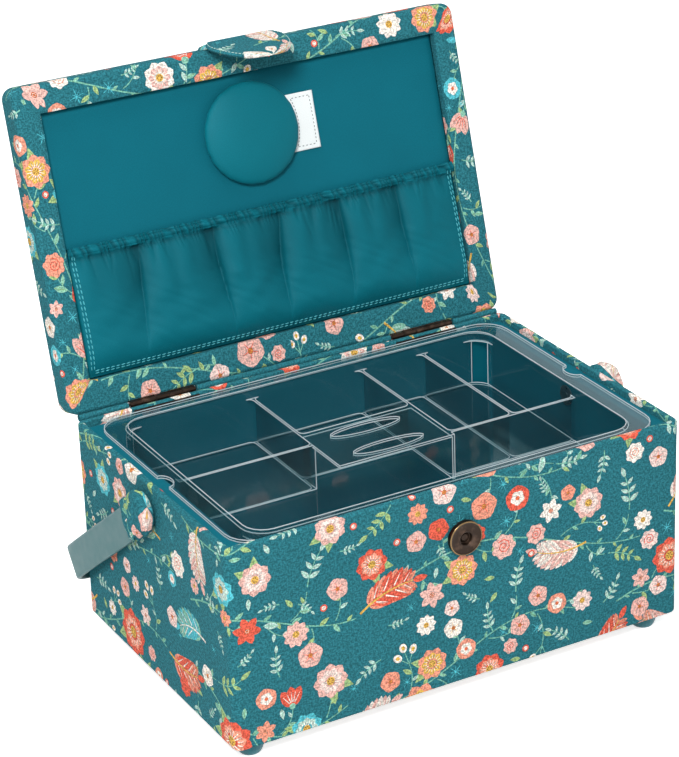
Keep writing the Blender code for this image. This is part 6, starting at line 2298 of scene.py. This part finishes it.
@dataclass
class Studio:
    """Camera at the photograph's place, soft lights and a pale floor."""

    azimuth: float = math.radians(28.4014)
    pitch: float = math.radians(23.4429)
    roll: float = math.radians(-2.1088)
    eye: tuple[float, float, float] = (-639.41 * MM, -1147.79 * MM, 741.04 * MM)
    focal_pixels: float = 2836.95
    centre_pixel: Point = (339.66, 329.17)
    sensor: float = 36.0

    def camera(self) -> None:
        """Makes the camera from the fitted view."""
        data = bpy.data.cameras.new("camera")
        data.sensor_width = self.sensor
        data.lens = self.focal_pixels * self.sensor / PHOTO_HEIGHT
        data.shift_x = -(self.centre_pixel[0] - PHOTO_WIDTH / 2) / PHOTO_HEIGHT
        data.shift_y = (self.centre_pixel[1] - PHOTO_HEIGHT / 2) / PHOTO_HEIGHT
        item = bpy.data.objects.new("camera", data)
        bpy.context.scene.collection.objects.link(item)
        look = Vector(
            (
                math.sin(self.azimuth) * math.cos(self.pitch),
                math.cos(self.azimuth) * math.cos(self.pitch),
                -math.sin(self.pitch),
            )
        )
        right = Vector((math.cos(self.azimuth), -math.sin(self.azimuth), 0.0))
        up = right.cross(look)
        rolled_right = right * math.cos(self.roll) + up * math.sin(self.roll)
        rolled_up = up * math.cos(self.roll) - right * math.sin(self.roll)
        turn = Matrix((rolled_right, rolled_up, -look)).transposed()
        place = Vector(self.eye) + Vector((0, SIZES.shift_y, 0))
        item.matrix_world = Matrix.Translation(place) @ turn.to_4x4()
        bpy.context.scene.camera = item

    def light(self, name: str, place: tuple[float, float, float], size: float, power: float) -> None:
        """Adds a soft square lamp that faces the box.

        Args:
            name: the lamp's name.
            place: the lamp's place, in metres.
            size: the lamp's side, in metres.
            power: the lamp's power, in watts.
        """
        data = bpy.data.lights.new(name, "AREA")
        data.size = size
        data.energy = power
        item = bpy.data.objects.new(name, data)
        bpy.context.scene.collection.objects.link(item)
        item.location = place
        aim = Vector((0, 0, 0.12)) - Vector(place)
        item.rotation_mode = "QUATERNION"
        item.rotation_quaternion = aim.to_track_quat("-Z", "Y")

    def floor(self) -> None:
        """A broad sheet of paper under the box."""
        half = 6.0
        points = np.array([(-half, -half, 0), (half, -half, 0), (half, half, 0), (-half, half, 0)], float)
        mesh = mesh_of("floor", points, np.array([[0, 1, 2, 3]]), smooth=False)
        item = bpy.data.objects.new("floor", mesh)
        bpy.context.scene.collection.objects.link(item)
        mesh.materials.append(MATERIALS.get("backdrop"))

    def world(self) -> None:
        """An even pale sky, white where the camera, a reflection or glass sees it."""
        world = bpy.data.worlds.new("studio")
        world.use_nodes = True
        background = world.node_tree.nodes["Background"]
        background.inputs[0].default_value = (1.0, 1.0, 1.0, 1.0)
        path = world.node_tree.nodes.new("ShaderNodeLightPath")
        seen = world.node_tree.nodes.new("ShaderNodeMath")
        seen.operation = "MAXIMUM"
        strength = world.node_tree.nodes.new("ShaderNodeMapRange")
        strength.inputs["To Min"].default_value = 0.27
        strength.inputs["To Max"].default_value = 1.0
        world.node_tree.links.new(path.outputs["Is Camera Ray"], seen.inputs[0])
        world.node_tree.links.new(path.outputs["Is Glossy Ray"], seen.inputs[1])
        world.node_tree.links.new(seen.outputs[0], strength.inputs["Value"])
        world.node_tree.links.new(strength.outputs[0], background.inputs[1])
        bpy.context.scene.world = world

    def build(self) -> None:
        """Sets the whole stage."""
        self.camera()
        self.light("key", (-0.85, -1.15, 1.3), 0.40, 29.0)
        self.light("fill", (1.2, -1.4, 0.8), 1.2, 3.0)
        self.light("top", (-0.1, 0.1, 1.7), 0.9, 10.0)
        self.floor()
        self.world()
        bpy.context.scene.view_settings.view_transform = "Standard"


def main() -> None:
    """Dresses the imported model."""
    logging.basicConfig(level=logging.INFO)
    Studio().build()
    pattern = Print(0.90, 0.42)
    BodyShell(pattern).build()
    LidShell(pattern).build()
    Linings().build()
    LidInterior().build()
    ClosureFlap().build(pattern)
    Handle().build(pattern)
    Fittings().build()


if __name__ == "__main__":
    main()
